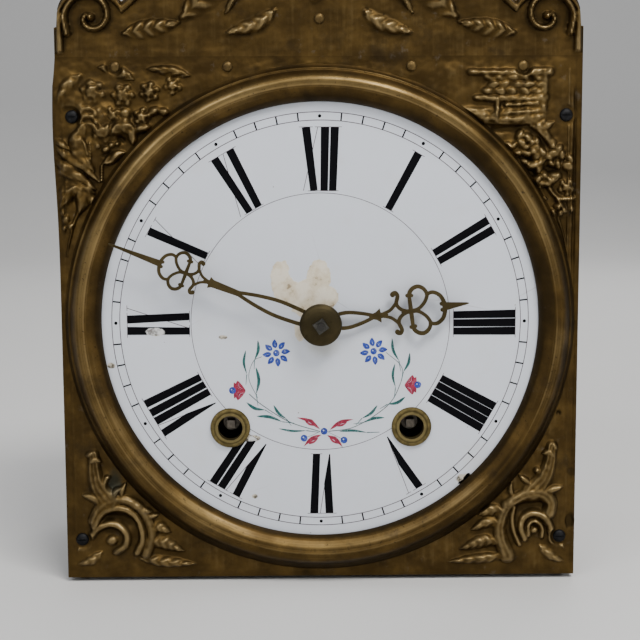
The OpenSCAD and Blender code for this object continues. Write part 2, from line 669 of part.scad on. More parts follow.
// One half of a pierced hand along +X: c is its ornament's middle, k its scale
module half_hand(c, k, bone, tip) {
  ribbon([[6, 3], [bone * 0.52, 3.8], [bone * 0.8, 2.5], [bone + 1.5, 0.4]], 1.9, 1.7);
  polygon([[bone - 1, 0], [bone - 1, 1], [bone + 1, 1.4], [c - 17 * k, 1.9], [c - 14.8 * k, 3.6 * k],
    [c - 14.6 * k, 1.4 * k], [c - 12 * k, 1.2 * k], [c - 10.9 * k, 0]]);
  translate([c, 0]) scale(k) {
    ribbon([[-13.6, 0.6], [-10.2, 1.7], [-7.9, 3.5], [-6.2, 5.4]], 1.5, 1.7);
    ribbon([[-1.6, 0.2], [-4.2, 1.4], [-5.9, 3.3], [-6.3, 5.2], [-5.6, 7.2], [-5.3, 8.7], [-6.2, 10.1],
      [-7.8, 9.6]], 1.7, 2.2);
    ribbon([[0.4, -0.8], [0.4, 7.8]], 2.4, 1.7);
    ribbon([[0.5, 7.4], [0.9, 9.4], [2.8, 11.2], [5.5, 11.7], [8, 10.1], [9.2, 7.4], [8.6, 5.2], [7.1, 3],
      [4.4, 0.8], [1.8, 0.2]], 2.2, 1.6);
    ribbon([[8.6, 6.5], [10.4, 7.7], [12.8, 7.7], [15.6, 5.7], [17, 2.6], [17.3, 0]], 1.7, 2.2);
    polygon([[-4.6, 0], [-3, 1.1], [3.4, 1.1], [5.2, 0]]);
    hand_knob(-7.6, 9.4, 1.3);
    hand_knob(-0.6, 7.9, 0.9);
    hand_knob(1.6, 7.7, 0.9);
    hand_knob(15.8, 1.5, 1);
  }
  polygon([[c + 16 * k, 0], [c + 16 * k, 1.3 * k], [c + 17.8 * k, 2 * k], [tip - 1, 0.5], [tip, 0.2], [tip, 0]]);
}
module hand(at, y, hub, bore, c, k, bone, tip) color("#5a4a26") on(centre) difference() {
  union() {
    rod(hub, y - hand_t, y);
    along_y(y - hand_t, y) rotate(90 - at) {
      half_hand(c, k, bone, tip);
      mirror([0, 1]) half_hand(c, k, bone, tip);
    }
  }
  rod(bore, y - hand_t - 1, y + 1);
}
module hour_hand() hand(hour_at, hour_y, 9, hour_pipe_r + seat,
  hour_hand_l * 0.605, 1, hour_hand_l * 0.34, hour_hand_l);
module minute_hand() hand(minute_at, minute_y, 8, cannon_r + seat,
  minute_hand_l * 0.635, 0.8, minute_hand_l * 0.38, minute_hand_l);
module hand_collet() color("#5d5230") on(centre) difference() {
  turned(collet_y) polygon(concat([[0, 0], [collet_r, 0]],
    [for (a = [12 : 12 : 84]) [collet_r * cos(a), 0.6 + (collet_h - 0.6) * sin(a)]], [[0, collet_h]]));
  rod(hand_pin_r + seat, collet_y - collet_h - 1, collet_y + 1);
}
module hand_nut() color("#57534b") on(centre) difference() {
  along_y(nut_y - nut_t, nut_y) rotate(35) square(nut_w, center = true);
  rod(hand_pin_r + seat, nut_y - nut_t - 1, nut_y + 1);
}
module hour_wheel() color("#8a7440") on(centre) difference() {
  union() {
    along_y(hour_wheel_y - wheel_t, hour_wheel_y) crossed2d(hour_n, hour_m, hour_ph, 1, 4, 9, 6);
    rod(hour_pipe_r, hour_y - hand_t, hour_wheel_y);
  }
  rod(hour_pipe_in, hour_y - hand_t - 1, hour_wheel_y + 1);
}
// Twelve steps; the largest is under the rack's foot
module snail() color("#8a7440") on(centre) along_y(snail_y - snail_t, snail_y) difference() {
  polygon([for (i = [0 : 11]) for (k = [0 : 4]) polar(snail_r - snail_step * i, 105 - 30 * i - 7.5 * k)]);
  circle(hour_pipe_r + seat);
}
module minute_wheel() color("#8a7440") on(second_at) difference() {
  union() {
    along_y(cannon_y - wheel_t, cannon_y) crossed2d(motion_n, minute_m, minute_ph, 1, 3, 6, 4);
    pinion(hour_pinion, hour_m, minute_ph, hour_wheel_y - wheel_t - 0.5, cannon_y - wheel_t + eps);
  }
  rod(front_arbor_r + run, hour_wheel_y - 9, cannon_y + 1);
}

// Winding drums, great wheels and clicks

rim_r = drum_r + 5;
module drum() {
  difference() {
    union() {
      rod(drum_r, drum_y, ratchet_y);
      rod(rim_r, drum_y, drum_y + 2);
      along_y(ratchet_y - 1, ratchet_y + ratchet_t) polygon([for (i = [0 : ratchet_n - 1])
        for (t = [[0, -2.6], [0.75, 0], [0.95, 0]])
          polar(ratchet_r + t[1], 360 / ratchet_n * (i + t[0]))]);
    }
    rod(drum_r - 2, drum_y + 2, ratchet_y - 2);
    rod(journal_r + seat, drum_y - 1, ratchet_y + ratchet_t + 1);
    for (a = [0 : 90 : 270]) rotate([0, a, 0]) translate([(drum_r + ratchet_r) / 2, 0, 0])
      rod(3.2, ratchet_y - 5, ratchet_y + 1);
  }
}
module winding_arbor() {
  rod(journal_r, cf + 8, rear_out);
  along_y(square_end, cf + 9) square(square_w, center = true);
}
click_at = [0, 26];                      // on an arm of the wheel
click_tip = polar(ratchet_r + 0.9, 50);
module great_wheel() {
  along_y(great_y, great_y + wheel_t) crossed2d(great_n, great_m, 0, journal_r + run, 6, 13, 9);
  translate([click_at[0], 0, click_at[1]]) rod(2, great_y - ratchet_t, great_y + eps);
}
module click() difference() {
  union() {
    translate([click_at[0], 0, click_at[1]]) rod(4, ratchet_y + side, great_y - 0.2);
    along_y(ratchet_y + side, great_y - 0.2) polygon([click_at + polar(3.2, 46),
      click_at + polar(3.2, -134), click_tip, click_tip + polar(2.5, 50)]);
  }
  translate([click_at[0], 0, click_at[1]]) rod(2 + run, ratchet_y, great_y + 1);
}
module going_great_wheel() color("#8a7440") on(going_at) great_wheel();
module strike_great_wheel() color("#8a7440") on(strike_at) great_wheel();
module going_click() color("#4a453f") on(going_at) click();
module strike_click() color("#4a453f") on(strike_at) click();
module going_drum() color("#9a8350") on(going_at) drum();
module strike_drum() color("#9a8350") on(strike_at) drum();
module going_winding_arbor() color("#77716a") on(going_at) winding_arbor();
module strike_winding_arbor() color("#77716a") on(strike_at) winding_arbor();

// Going train

leaf_over = 2;                           // how far the leaves stand out beside their wheel
module second_wheel() color("#8a7440") on(second_at) {
  arbor(front_arbor_r, hour_wheel_y - wheel_t - 3);
  along_y(second_y - wheel_t, second_y) crossed2d(second_n, second_m, second_ph, 1, 4, 7, 5);
  pinion(second_pinion, great_m, second_ph, great_y - leaf_over, great_y + wheel_t + leaf_over);
}
module third_wheel() color("#8a7440") on(third_at) {
  arbor();
  along_y(third_y, third_y + wheel_t) crossed2d(third_n, third_m, third_ph, 1, 4, 7, 5);
  pinion(third_pinion, second_m, third_ph, second_y - wheel_t - leaf_over, second_y + leaf_over);
}
module escape_wheel() color("#8a7440") on(escape_at) {
  arbor();
  along_y(escape_y, escape_y + wheel_t) difference() {
    polygon([for (i = [0 : escape_n - 1]) for (t = [[0, -4.5], [0.55, 0], [0.65, 0], [0.72, -4.5]])
      polar(escape_r + t[1], 360 / escape_n * (i + t[0]))]);
    difference() {
      circle(escape_r - 7);
      circle(6);
      for (a = [0, 90]) rotate(a) square([3 * escape_r, 4], center = true);
    }
  }
  pinion(escape_pinion, third_m, escape_ph, third_y - leaf_over, third_y + wheel_t + leaf_over);
}
pallet = polar(escape_r + 1.9, 37) - [0, anchor_d];
module anchor() color("#5b554d") on(anchor_at) {
  rod(pivot_r, bar_y, front_in + side + eps);
  rod(arbor_r, front_in + side, cock_y - side);
  rod(pivot_r, cock_y - side - eps, cock_y + cock_t);
  along_y(escape_y, escape_y + wheel_t) {
    circle(6);
    for (m = [0, 1]) mirror([m, 0]) polygon([[0, 4], [4, 4], [17, -4], pallet + [3.2, 1.8], pallet,
      pallet + [-3.4, 6.6], [4, -3], [0, -4]]);
  }
}
crutch_l = 120;
module crutch() color("#5b554d") on(anchor_at) along_y(crutch_y, crutch_y + crutch_t) difference() {
  union() {
    circle(6);
    translate([-2.5, -crutch_l]) square([5, crutch_l]);
    translate([-6, -crutch_l - 14]) square([12, 16]);
  }
  circle(arbor_r + seat);
  translate([-3, -crutch_l - 15]) square([6, 12]);
}
module anchor_cock() color("#4a453f") on(anchor_at) difference() {
  union() {
    along_y(cock_y, cock_y + cock_t) {
      translate([-8, 0]) square([16, 24]);
      circle(8);
    }
    along_y(rear_out, cock_y + cock_t) translate([-8, 14]) square([16, 10]);
    along_y(cock_y, cock_y + cock_t + 7) translate([-4, 6]) square([8, 9]);
  }
  rod(pivot_r + run, cock_y - 1, cock_y + cock_t + 1);
  along_y(cock_y + cock_t + 1, cock_y + cock_t + 8) translate([-0.4, 4]) square([0.8, 8]);
}

// Striking train

module pin_wheel() color("#8a7440") on(pin_at) {
  arbor();
  along_y(second_y - wheel_t, second_y) crossed2d(pin_n, second_m, pin_ph, 1, 11, 8, 6);
  pinion(pin_pinion, great_m, pin_ph, great_y - leaf_over, great_y + wheel_t + leaf_over);
  for (a = [0 : 45 : 315]) rotate([0, a, 0]) translate([pin_circle, 0, 0])
    rod(lift_pin_r, second_y - eps, second_y + 6);
}
module gathering_wheel() color("#8a7440") on(gather_at) {
  arbor(front_arbor_r, snail_y - snail_t - 1);
  along_y(third_y, third_y + wheel_t) crossed2d(gather_n, third_m, gather_ph, 1, 4, 7, 5);
  pinion(gather_pinion, second_m, gather_ph, second_y - wheel_t - leaf_over, second_y + leaf_over);
}
pallet_l = rack_x - rack_w / 2 - gather_at[0] - 0.7;  // just clear of the rack
module gathering_pallet() color("#5b554d") on(gather_at) difference() {
  union() {
    rod(5, snail_y - snail_t, snail_y);
    along_y(snail_y - snail_t, snail_y) polygon([[0, 4.9], [0, -4.9], [pallet_l, -0.8], [pallet_l, 0.8]]);
  }
  rod(front_arbor_r + seat, snail_y - snail_t - 1, snail_y + 1);
}
fly_r = 26;
fly_l = 19;
fly_y = drum_y - 2;
module fly() color("#8a7440") on(fly_at) {
  arbor();
  pinion(fly_pinion, third_m, fly_ph, third_y - leaf_over, third_y + wheel_t + leaf_over);
  rod(5, fly_y, fly_y + fly_l);
  rotate([0, 25, 0]) translate([-fly_r, fly_y, -0.5]) cube([2 * fly_r, fly_l, 1]);
}

// Hammer and rack

tail_z = zc + pin_at[1];
hammer_top = strike_z + 6;
module hammer_arbor() color("#5b554d") translate([hammer_x, hammer_y, 0]) {
  translate([0, 0, foot_h - 1]) cylinder(r = hammer_r, h = hammer_top - foot_h + 1);
  translate([0, 0, base_top + side]) cylinder(r = 5, h = 5);
  translate([0, 0, tail_z]) cylinder(r = 6, h = tail_h + 4, center = true);
  translate([-tail_t / 2, tail_y - hammer_y, tail_z - tail_h / 2]) {
    cube([tail_t, hammer_y - tail_y, tail_h]);
    cube([pin_at[0] - pin_circle - lift_pin_r - 1.2 - hammer_x + tail_t / 2, tail_t, tail_h]);
  }
}
head_w = 16;
head_at = [0, bell_y] + polar(bell_r + 1.5 + bell_gap + head_w / 2, strike_dir) - [hammer_x, hammer_y];
module hammer() color("#4a453f") translate([hammer_x, hammer_y, strike_z]) difference() {
  union() {
    cylinder(r = 6, h = 9, center = true);
    rotate(atan2(head_at[1], head_at[0])) translate([0, -2, -3]) cube([norm(head_at), 4, 6]);
    translate([head_at[0], head_at[1], 0]) rotate(strike_dir) rotate([0, 90, 0])
      cylinder(r = 7, h = head_w, center = true);
  }
  cylinder(r = hammer_r + seat, h = 20, center = true);
}
rack_low = 24;
rack_high = 82;
foot_gap = 0.4;
rack_lift = 26;                          // thirteen teeth
module rack() color("#5b554d") on(centre) along_y(snail_y - snail_t, snail_y) difference() {
  union() {
    translate([rack_x - rack_w / 2, rack_low]) square([rack_w, rack_high - rack_low]);
    translate([rack_x, snail_r + 5]) square([2 - rack_x, 5]);
    translate([-2, snail_r + foot_gap]) square([4, 6]);
  }
  for (i = [0 : 12]) translate([rack_x - rack_w / 2, rack_low + 2 + rack_pitch * i])
    polygon([[-1, -0.3], [2, 1.3], [-1, 1.6]]);
}
guide_z = snail_r + 10 + rack_lift + 1;
guide_h = 9;
guide_gap = 0.3;
module rack_guide() color("#3d3934") on(centre) difference() {
  union() {
    translate([rack_x - rack_w / 2 - 4, snail_y - snail_t - 2, guide_z])
      cube([rack_w + 8, snail_t + 4, guide_h]);
    translate([rack_x, snail_y + guide_gap, guide_z]) cube([6 - rack_x, 2, guide_h]);
    translate([-6, snail_y + guide_gap, guide_z]) cube([12, bar_y - snail_y - guide_gap, guide_h]);
  }
  translate([rack_x - rack_w / 2 - guide_gap, snail_y - snail_t - guide_gap, guide_z - 1])
    cube([rack_w + 2 * guide_gap, snail_t + 2 * guide_gap, guide_h + 2]);
}

base_plate();
top_plate();
corner_pillars();
pillar_nuts();
front_bar_left();
front_bar_centre();
front_bar_right();
rear_bar_left();
rear_bar_centre();
rear_bar_right();
bar_pins();
surround();
pediment();
pediment_stay();
pediment_rivets();
case_screws();
dial();
dial_straps();
dial_pins();
winding_eyelets();
back_panel();
door_gudgeons();
left_door();
left_door_knob();
right_door();
right_door_knob();
bell_post();
bell();
bell_nut();
centre_post();
rack_guide();
anchor_cock();
minute_hand();
hand_collet();
hand_nut();
cannon_wheel();
hour_hand();
hour_wheel();
snail();
minute_wheel();
going_great_wheel();
going_click();
going_drum();
going_winding_arbor();
second_wheel();
third_wheel();
escape_wheel();
anchor();
crutch();
strike_great_wheel();
strike_click();
strike_drum();
strike_winding_arbor();
pin_wheel();
gathering_wheel();
gathering_pallet();
fly();
hammer_arbor();
hammer();
rack();
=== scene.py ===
"""Comtoise clock head: looks for the iron cage, the embossed brass front, the enamel dial and the trains."""
import math

import bpy
import numpy as np
from mathutils import Matrix, Vector


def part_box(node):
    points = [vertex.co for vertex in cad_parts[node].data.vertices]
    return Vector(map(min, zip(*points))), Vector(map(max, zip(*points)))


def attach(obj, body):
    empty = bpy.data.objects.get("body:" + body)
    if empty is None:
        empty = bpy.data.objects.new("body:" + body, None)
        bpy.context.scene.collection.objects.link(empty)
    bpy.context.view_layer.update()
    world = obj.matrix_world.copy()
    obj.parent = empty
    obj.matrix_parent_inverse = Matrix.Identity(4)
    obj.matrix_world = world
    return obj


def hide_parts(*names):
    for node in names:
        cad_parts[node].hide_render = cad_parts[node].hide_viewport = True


bl_info = {
    "name": "Comtoise Clock",
    "version": (1, 0, 0),
    "blender": (4, 5, 0),
    "location": "View3D > Sidebar > Clock",
    "description": "Builds the embossed front, the painted dial and the finishes of a comtoise clock head",
    "category": "Object",
}

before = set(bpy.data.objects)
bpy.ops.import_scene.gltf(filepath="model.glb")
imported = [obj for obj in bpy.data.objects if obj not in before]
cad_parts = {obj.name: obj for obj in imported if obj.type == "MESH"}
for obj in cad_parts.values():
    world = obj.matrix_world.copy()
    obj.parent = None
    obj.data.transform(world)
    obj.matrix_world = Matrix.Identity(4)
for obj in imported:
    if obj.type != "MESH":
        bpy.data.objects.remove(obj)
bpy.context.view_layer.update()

MM = 0.001

# Gauge of the brass sheet, fall of the dial's crown and radius of an eyelet's flange, in mm
SHEET_T = 1.2
DIAL_SAG = 4.5
EYELET_R = 10.0

DIAL_LOW, DIAL_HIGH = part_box("dial")
SHEET_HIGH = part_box("surround")[1]
PEDIMENT_LOW, PEDIMENT_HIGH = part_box("pediment")
STRAP_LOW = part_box("dial_straps")[0]
EYELET_LOW, EYELET_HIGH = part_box("winding_eyelets")

# Places in metres
CENTRE_Z = 0.5 * (DIAL_LOW[2] + DIAL_HIGH[2])
SHEET_BACK = STRAP_LOW[1]
DIAL_FRONT = DIAL_LOW[1]
EYELET_X = 0.5 * (EYELET_HIGH[0] - EYELET_LOW[0]) - EYELET_R * MM
EYELET_Z = 0.5 * (EYELET_LOW[2] + EYELET_HIGH[2])

# Sizes in mm
DIAL_OUT = DIAL_HIGH[0] / MM
HALF_W = SHEET_HIGH[0] / MM
HALF_H = (SHEET_HIGH[2] - CENTRE_Z) / MM
FLANGE = (SHEET_HIGH[1] - SHEET_BACK) / MM


# Settings that a user would change


class ClockSizes(bpy.types.PropertyGroup):
    dial_radius: bpy.props.FloatProperty(
        name="Dial", description="Radius of the enamel that shows inside the bezel",
        default=109 * MM, unit="LENGTH")
    bezel_width: bpy.props.FloatProperty(
        name="Bezel", description="Width of the round moulding", default=18.5 * MM, unit="LENGTH")
    numeral_outer: bpy.props.FloatProperty(
        name="Numerals outside", description="Outer radius of the hour numerals",
        default=97 * MM, unit="LENGTH")
    numeral_inner: bpy.props.FloatProperty(
        name="Numerals inside", description="Inner radius of the hour numerals",
        default=66.0 * MM, unit="LENGTH")
    track_radius: bpy.props.FloatProperty(
        name="Minute track", description="Middle radius of the minute track", default=102 * MM, unit="LENGTH")
    relief: bpy.props.FloatProperty(
        name="Relief", description="Height of the tallest embossed ornament", default=5.0 * MM, unit="LENGTH")


class ClockColours(bpy.types.PropertyGroup):
    brass: bpy.props.FloatVectorProperty(
        name="Brass", description="Worn ridges of the embossed brass", subtype="COLOR", size=3,
        default=(0.255, 0.170, 0.060), min=0, max=1)
    patina: bpy.props.FloatVectorProperty(
        name="Patina", description="Brown skin in the hollows of the brass", subtype="COLOR", size=3,
        default=(0.052, 0.031, 0.0095), min=0, max=1)
    enamel: bpy.props.FloatVectorProperty(
        name="Enamel", description="Ground of the dial", subtype="COLOR", size=3,
        default=(0.652, 0.682, 0.742), min=0, max=1)
    ink: bpy.props.FloatVectorProperty(
        name="Ink", description="Fired black of the numerals", subtype="COLOR", size=3,
        default=(0.004, 0.004, 0.005), min=0, max=1)
    blue: bpy.props.FloatVectorProperty(
        name="Blue", description="Flowers", subtype="COLOR", size=3,
        default=(0.035, 0.075, 0.38), min=0, max=1)
    red: bpy.props.FloatVectorProperty(
        name="Red", description="Tulips and buds", subtype="COLOR", size=3,
        default=(0.36, 0.032, 0.068), min=0, max=1)
    green: bpy.props.FloatVectorProperty(
        name="Green", description="Leaves", subtype="COLOR", size=3,
        default=(0.022, 0.125, 0.115), min=0, max=1)
    hand: bpy.props.FloatVectorProperty(
        name="Hands", description="Aged brass of the hands", subtype="COLOR", size=3,
        default=(0.088, 0.064, 0.025), min=0, max=1)
    iron: bpy.props.FloatVectorProperty(
        name="Iron", description="Forged iron of the cage", subtype="COLOR", size=3,
        default=(0.050, 0.045, 0.041), min=0, max=1)


def sizes():
    return bpy.context.scene.clock_sizes


def colours():
    return bpy.context.scene.clock_colours


# Shader maths


class Wire:
    """A shader socket that takes part in arithmetic."""

    def __init__(self, tree, socket):
        self.tree = tree
        self.socket = socket

    def _math(self, operation, first, second):
        made = self.tree.nodes.new("ShaderNodeMath")
        made.operation = operation
        for slot, value in zip(made.inputs, (first, second)):
            if isinstance(value, Wire):
                self.tree.links.new(value.socket, slot)
            else:
                slot.default_value = value
        return Wire(self.tree, made.outputs[0])

    def __add__(self, other):
        return self._math("ADD", self, other)

    def __radd__(self, other):
        return self._math("ADD", other, self)

    def __sub__(self, other):
        return self._math("SUBTRACT", self, other)

    def __rsub__(self, other):
        return self._math("SUBTRACT", other, self)

    def __mul__(self, other):
        return self._math("MULTIPLY", self, other)

    def __rmul__(self, other):
        return self._math("MULTIPLY", other, self)

    def __pow__(self, other):
        return self._math("POWER", self, other)

    def at_least(self, other):
        return self._math("MAXIMUM", self, other)

    def size(self):
        return self._math("ABSOLUTE", self, 0.0)


class Finish:
    """A material and the nodes that make it."""

    def __init__(self, name):
        self.material = bpy.data.materials.new(name)
        self.material.use_nodes = True
        self.tree = self.material.node_tree
        self.tree.nodes.clear()
        self.place = self.node("ShaderNodeTexCoord", out="Object")

    def node(self, kind, settings=None, out=0, **values):
        """Adds any node but a Math node: settings first, then sockets by name, or by number as i0, i1."""
        made = self.tree.nodes.new(kind)
        for key, value in (settings or {}).items():
            if key == "stops":
                ramp = made.color_ramp
                while len(ramp.elements) < len(value):
                    ramp.elements.new(0.5)
                for stop, (at, colour) in zip(ramp.elements, value):
                    stop.position = at
                    stop.color = (*colour, 1.0)
            else:
                setattr(made, key, value)
        for key, value in values.items():
            slot = made.inputs[int(key[1:])] if key[1:].isdigit() else made.inputs[key.replace("_", " ")]
            if isinstance(value, Wire):
                self.tree.links.new(value.socket, slot)
            else:
                slot.default_value = value
        return Wire(self.tree, made.outputs[out]) if made.outputs else None

    def moved(self, shift=(0, 0, 0), stretch=(1, 1, 1)):
        return self.node("ShaderNodeMapping", {"vector_type": "POINT"}, 0, Vector=self.place,
                         Location=shift, Scale=stretch)

    def noise(self, scale, detail=4.0, roughness=0.55, **placing):
        return self.node("ShaderNodeTexNoise", {"noise_dimensions": "3D"}, 0,
                         Vector=self.moved(**placing) if placing else self.place,
                         Scale=scale, Detail=detail, Roughness=roughness)

    def rings(self, radius, scale, detail):
        """Fine lines left by turning."""
        return self.node("ShaderNodeTexNoise", {"noise_dimensions": "1D"}, 0,
                         W=radius, Scale=scale, Detail=detail)

    def cells(self, scale, feature="F1", **placing):
        return self.node("ShaderNodeTexVoronoi", {"feature": feature}, 0,
                         Vector=self.moved(**placing) if placing else self.place, Scale=scale)

    def ramp(self, value, *stops):
        return self.node("ShaderNodeValToRGB", {"stops": stops}, 0, Fac=value)

    def mix(self, factor, first, second):
        return self.node("ShaderNodeMix", {"data_type": "RGBA"}, 2, i0=factor,
                         i6=first if isinstance(first, Wire) else (*first, 1.0),
                         i7=second if isinstance(second, Wire) else (*second, 1.0))

    def step(self, value, low, high):
        return self.node("ShaderNodeMapRange", {"interpolation_type": "SMOOTHSTEP"}, 0,
                         i0=value, i1=low, i2=high, i3=0.0, i4=1.0)

    def axis(self, name):
        return self.node("ShaderNodeSeparateXYZ", None, name, Vector=self.place)

    def distance(self, first, second, axes="XZ"):
        """How far a point lies from a line along the third axis."""
        a, b = (self.axis(name) - at for name, at in zip(axes, (first, second)))
        return (a ** 2.0 + b ** 2.0) ** 0.5

    def paint(self, name):
        return self.node("ShaderNodeAttribute", {"attribute_name": name}, "Fac")

    def spot(self, x, z, rx, rz, ragged, soft, turn=0.0):
        """A ragged patch on the front, 1 inside; x and z from the dial's centre and radii, in mm."""
        dx = (self.axis("X") - x * MM) * (1 / (rx * MM))
        dz = (self.axis("Z") - (CENTRE_Z + z * MM)) * (1 / (rz * MM))
        c, s = math.cos(turn), math.sin(turn)
        u = dx * c + dz * s
        v = dz * c - dx * s
        r = (u * u + v * v) ** 0.5 + (self.noise(420.0, 5.0, 0.6) - 0.5) * ragged
        return 1.0 - self.step(r, 1.0 - soft, 1.0 + soft)

    def bump(self, height, strength, distance):
        return self.node("ShaderNodeBump", None, 0, Strength=strength, Distance=distance, Height=height)

    def done(self, **values):
        shader = self.node("ShaderNodeBsdfPrincipled", **values)
        self.node("ShaderNodeOutputMaterial", Surface=shader)
        return self.material


# Finishes


def embossed_brass(name="embossed brass", spun=False):
    """Brown-skinned brass, rubbed bare on its ridges; spun adds the fine rings of a turned moulding."""
    f = Finish(name)
    # wear is how bare the brass is; on the bezel it also carries painted shade
    wear = f.paint("wear")
    broad = f.noise(24.0, 3.0)
    fine = f.noise(240.0, 5.0, 0.62)
    grime = f.noise(85.0, 5.0, 0.6, shift=(3.1, 1.7, 0.4))
    bare = wear + (broad - 0.5) * (0.46 if spun else 0.22) + (fine - 0.5) * 0.20
    if spun:
        lines = f.rings(f.distance(0.0, CENTRE_Z), 1100.0, 4.0)
    else:
        lines = f.noise(430.0, 3.0, 0.55, stretch=(1.0, 1.0, 0.04))
    bare = bare + (lines - 0.5) * (0.40 if spun else 0.46)
    bare = f.step(bare, 0.24, 1.0)
    skin = f.mix(f.step(grime, 0.35, 0.75), colours().patina, (0.100, 0.060, 0.017))
    tone = f.mix(bare, skin, colours().brass)
    stain = f.step(f.noise(55.0, 6.0, 0.65, shift=(9.0, 2.0, 5.0)), 0.54, 0.72)
    tone = f.mix(stain * 0.55, tone, (0.030, 0.021, 0.011))
    # Painted shade: the deepest hollows, where wear is lowest, go almost black
    tone = f.mix((1.0 - f.step(wear, 0.0, 0.24)) * 0.6, tone, (0.016, 0.011, 0.005))
    if spun:
        pits = f.step(f.noise(620.0, 4.0, 0.6, shift=(6.0, 2.0, 1.0)), 0.60, 0.70)
        tone = f.mix(pits * 0.75, tone, (0.030, 0.019, 0.008))
    else:
        green = f.spot(-104.4, -82.0, 3.2, 6.4, 0.9, 0.5, -0.3)
        tone = f.mix(green * 0.6, tone, (0.016, 0.028, 0.026))
    dust = f.step(f.noise(130.0, 5.0, 0.7, shift=(1.0, 8.0, 3.0)), 0.60, 0.74) * (1.0 - bare)
    tone = f.mix(dust * (0.15 if spun else 0.40), tone, (0.145, 0.125, 0.098))
    if not spun:
        tone = f.mix(f.step(wear, 0.30, 0.60) * 0.22, tone, (0.215, 0.165, 0.085))
    rough = 0.52 - bare * (0.22 if spun else 0.14) + (fine - 0.5) * 0.16 + stain * 0.12
    return f.done(Base_Color=tone, Metallic=0.97, Roughness=rough, Coat_Weight=bare * 0.3,
                  Coat_Roughness=0.28, Normal=f.bump(fine * 0.6 + lines * 0.4, 0.24, 0.0004))


def glazed_enamel():
    """White enamel with specks, fine cracks, a filled repair and chips down to the copper."""
    f = Finish("glazed enamel")
    broad = f.noise(14.0, 3.0)
    tone = f.mix(broad * 0.35, colours().enamel, (0.60, 0.615, 0.645))
    warm = f.step(f.noise(45.0, 4.0), 0.52, 0.80)
    tone = f.mix(warm * 0.18, tone, (0.56, 0.53, 0.45))
    speck = 1.0 - f.step(f.cells(150.0), 0.035, 0.06)
    speck = speck * f.step(f.noise(55.0, 2.0, 0.5, shift=(4, 4, 4)), 0.60, 0.66)
    tone = f.mix(speck * 0.75, tone, (0.13, 0.105, 0.08))
    crack = 1.0 - f.step(f.cells(19.0, "DISTANCE_TO_EDGE", shift=(0.31, 0.0, 0.17)), 0.001, 0.006)
    crack = crack * f.step(f.noise(16.0, 2.0, 0.5, shift=(2, 0, 7)), 0.56, 0.64)
    tone = f.mix(crack * 0.30, tone, (0.22, 0.21, 0.20))
    filler = f.spot(-4.2, 11.8, 11.2, 10.2, 0.42, 0.015, 0.3)
    for x, z, rx, rz in ((-19.2, 21.6, 5.4, 9.4), (-15.6, 15.4, 7.6, 5.8), (-0.8, 22.8, 6.0, 8.6),
                         (2.4, 13.0, 6.4, 6.0), (-10.2, -3.6, 2.8, 5.4)):
        filler = filler.at_least(f.spot(x, z, rx, rz, 0.42, 0.02, 0.2))
    filler = filler * (1.0 - f.spot(-11.0, 26.0, 4.6, 5.0, 0.5, 0.03))
    halo = f.spot(1.0, -11.0, 7.5, 5.5, 0.6, 0.5)
    tone = f.mix(halo * 0.35, tone, (0.46, 0.44, 0.32))
    lump = f.noise(190.0, 5.0, 0.6)
    putty = f.ramp(lump, (0.34, (0.30, 0.23, 0.14)), (0.40, (0.60, 0.51, 0.36)), (0.60, (0.72, 0.655, 0.53)))
    tone = f.mix(filler, tone, putty)
    bare = None
    for x, z, rx, rz, ragged in ((73.2, -80.6, 4.6, 2.6, 0.9), (-82.0, -4.3, 4.4, 2.1, 0.8),
                                 (-35.2, -58.6, 4.6, 1.8, 0.8), (-48.6, -6.9, 2.2, 1.0, 0.9),
                                 (-105.0, -21.5, 1.9, 1.5, 0.9), (-33.6, -88.8, 1.5, 1.2, 0.8)):
        mark = f.spot(x, z, rx, rz, ragged, 0.14)
        bare = mark if bare is None else bare.at_least(mark)
    copper = f.ramp(f.noise(340.0, 4.0), (0.42, (0.10, 0.085, 0.06)), (0.52, (0.55, 0.50, 0.40)))
    tone = f.mix(bare, tone, copper)
    flaw = filler.at_least(bare)
    height = f.noise(38.0, 2.0) * 0.25 + filler * (lump * 1.3 + 0.8) - bare * 0.8
    return f.done(Base_Color=tone, Metallic=0.0, Roughness=0.20 + flaw * 0.55 + broad * 0.06,
                  Coat_Weight=0.35 - flaw * 0.35, Coat_Roughness=0.08, Normal=f.bump(height, 0.35, 0.0005))


def fired_paint(name, colour, dark, thin):
    """Painted on the enamel by brush: the colour pools at the stroke's end and thins in its middle."""
    f = Finish(name)
    pool = f.noise(700.0, 3.0, 0.6)
    tone = f.mix(f.step(pool, 0.36, 0.64), colour, dark)
    bald = f.step(f.noise(1100.0, 2.0, 0.5, shift=(1, 5, 2)), 0.55, 0.72)
    tone = f.mix(bald * thin, tone, (0.60, 0.62, 0.68))
    return f.done(Base_Color=tone, Roughness=0.36 + pool * 0.08, Specular_IOR_Level=0.2,
                  Normal=f.bump(pool, 0.12, 0.0002))


def numeral_ink():
    """Fired black, chipped through to white at the nine and the seven."""
    f = Finish("numeral ink")
    wear = f.step(f.noise(520.0, 5.0, 0.7), 0.66, 0.76)
    tone = f.mix(wear * 0.4, colours().ink, (0.05, 0.05, 0.055))
    chip = f.spot(-82.4, -4.6, 4.6, 2.4, 0.7, 0.10).at_least(f.spot(-35.4, -58.4, 4.4, 1.6, 0.8, 0.12))
    white = f.ramp(f.noise(340.0, 4.0), (0.38, (0.20, 0.19, 0.18)), (0.52, (0.62, 0.62, 0.61)))
    tone = f.mix(chip, tone, white)
    return f.done(Base_Color=tone, Roughness=0.60 + wear * 0.2, Specular_IOR_Level=0.03,
                  Normal=f.bump(f.noise(900.0, 3.0), 0.10, 0.0002))


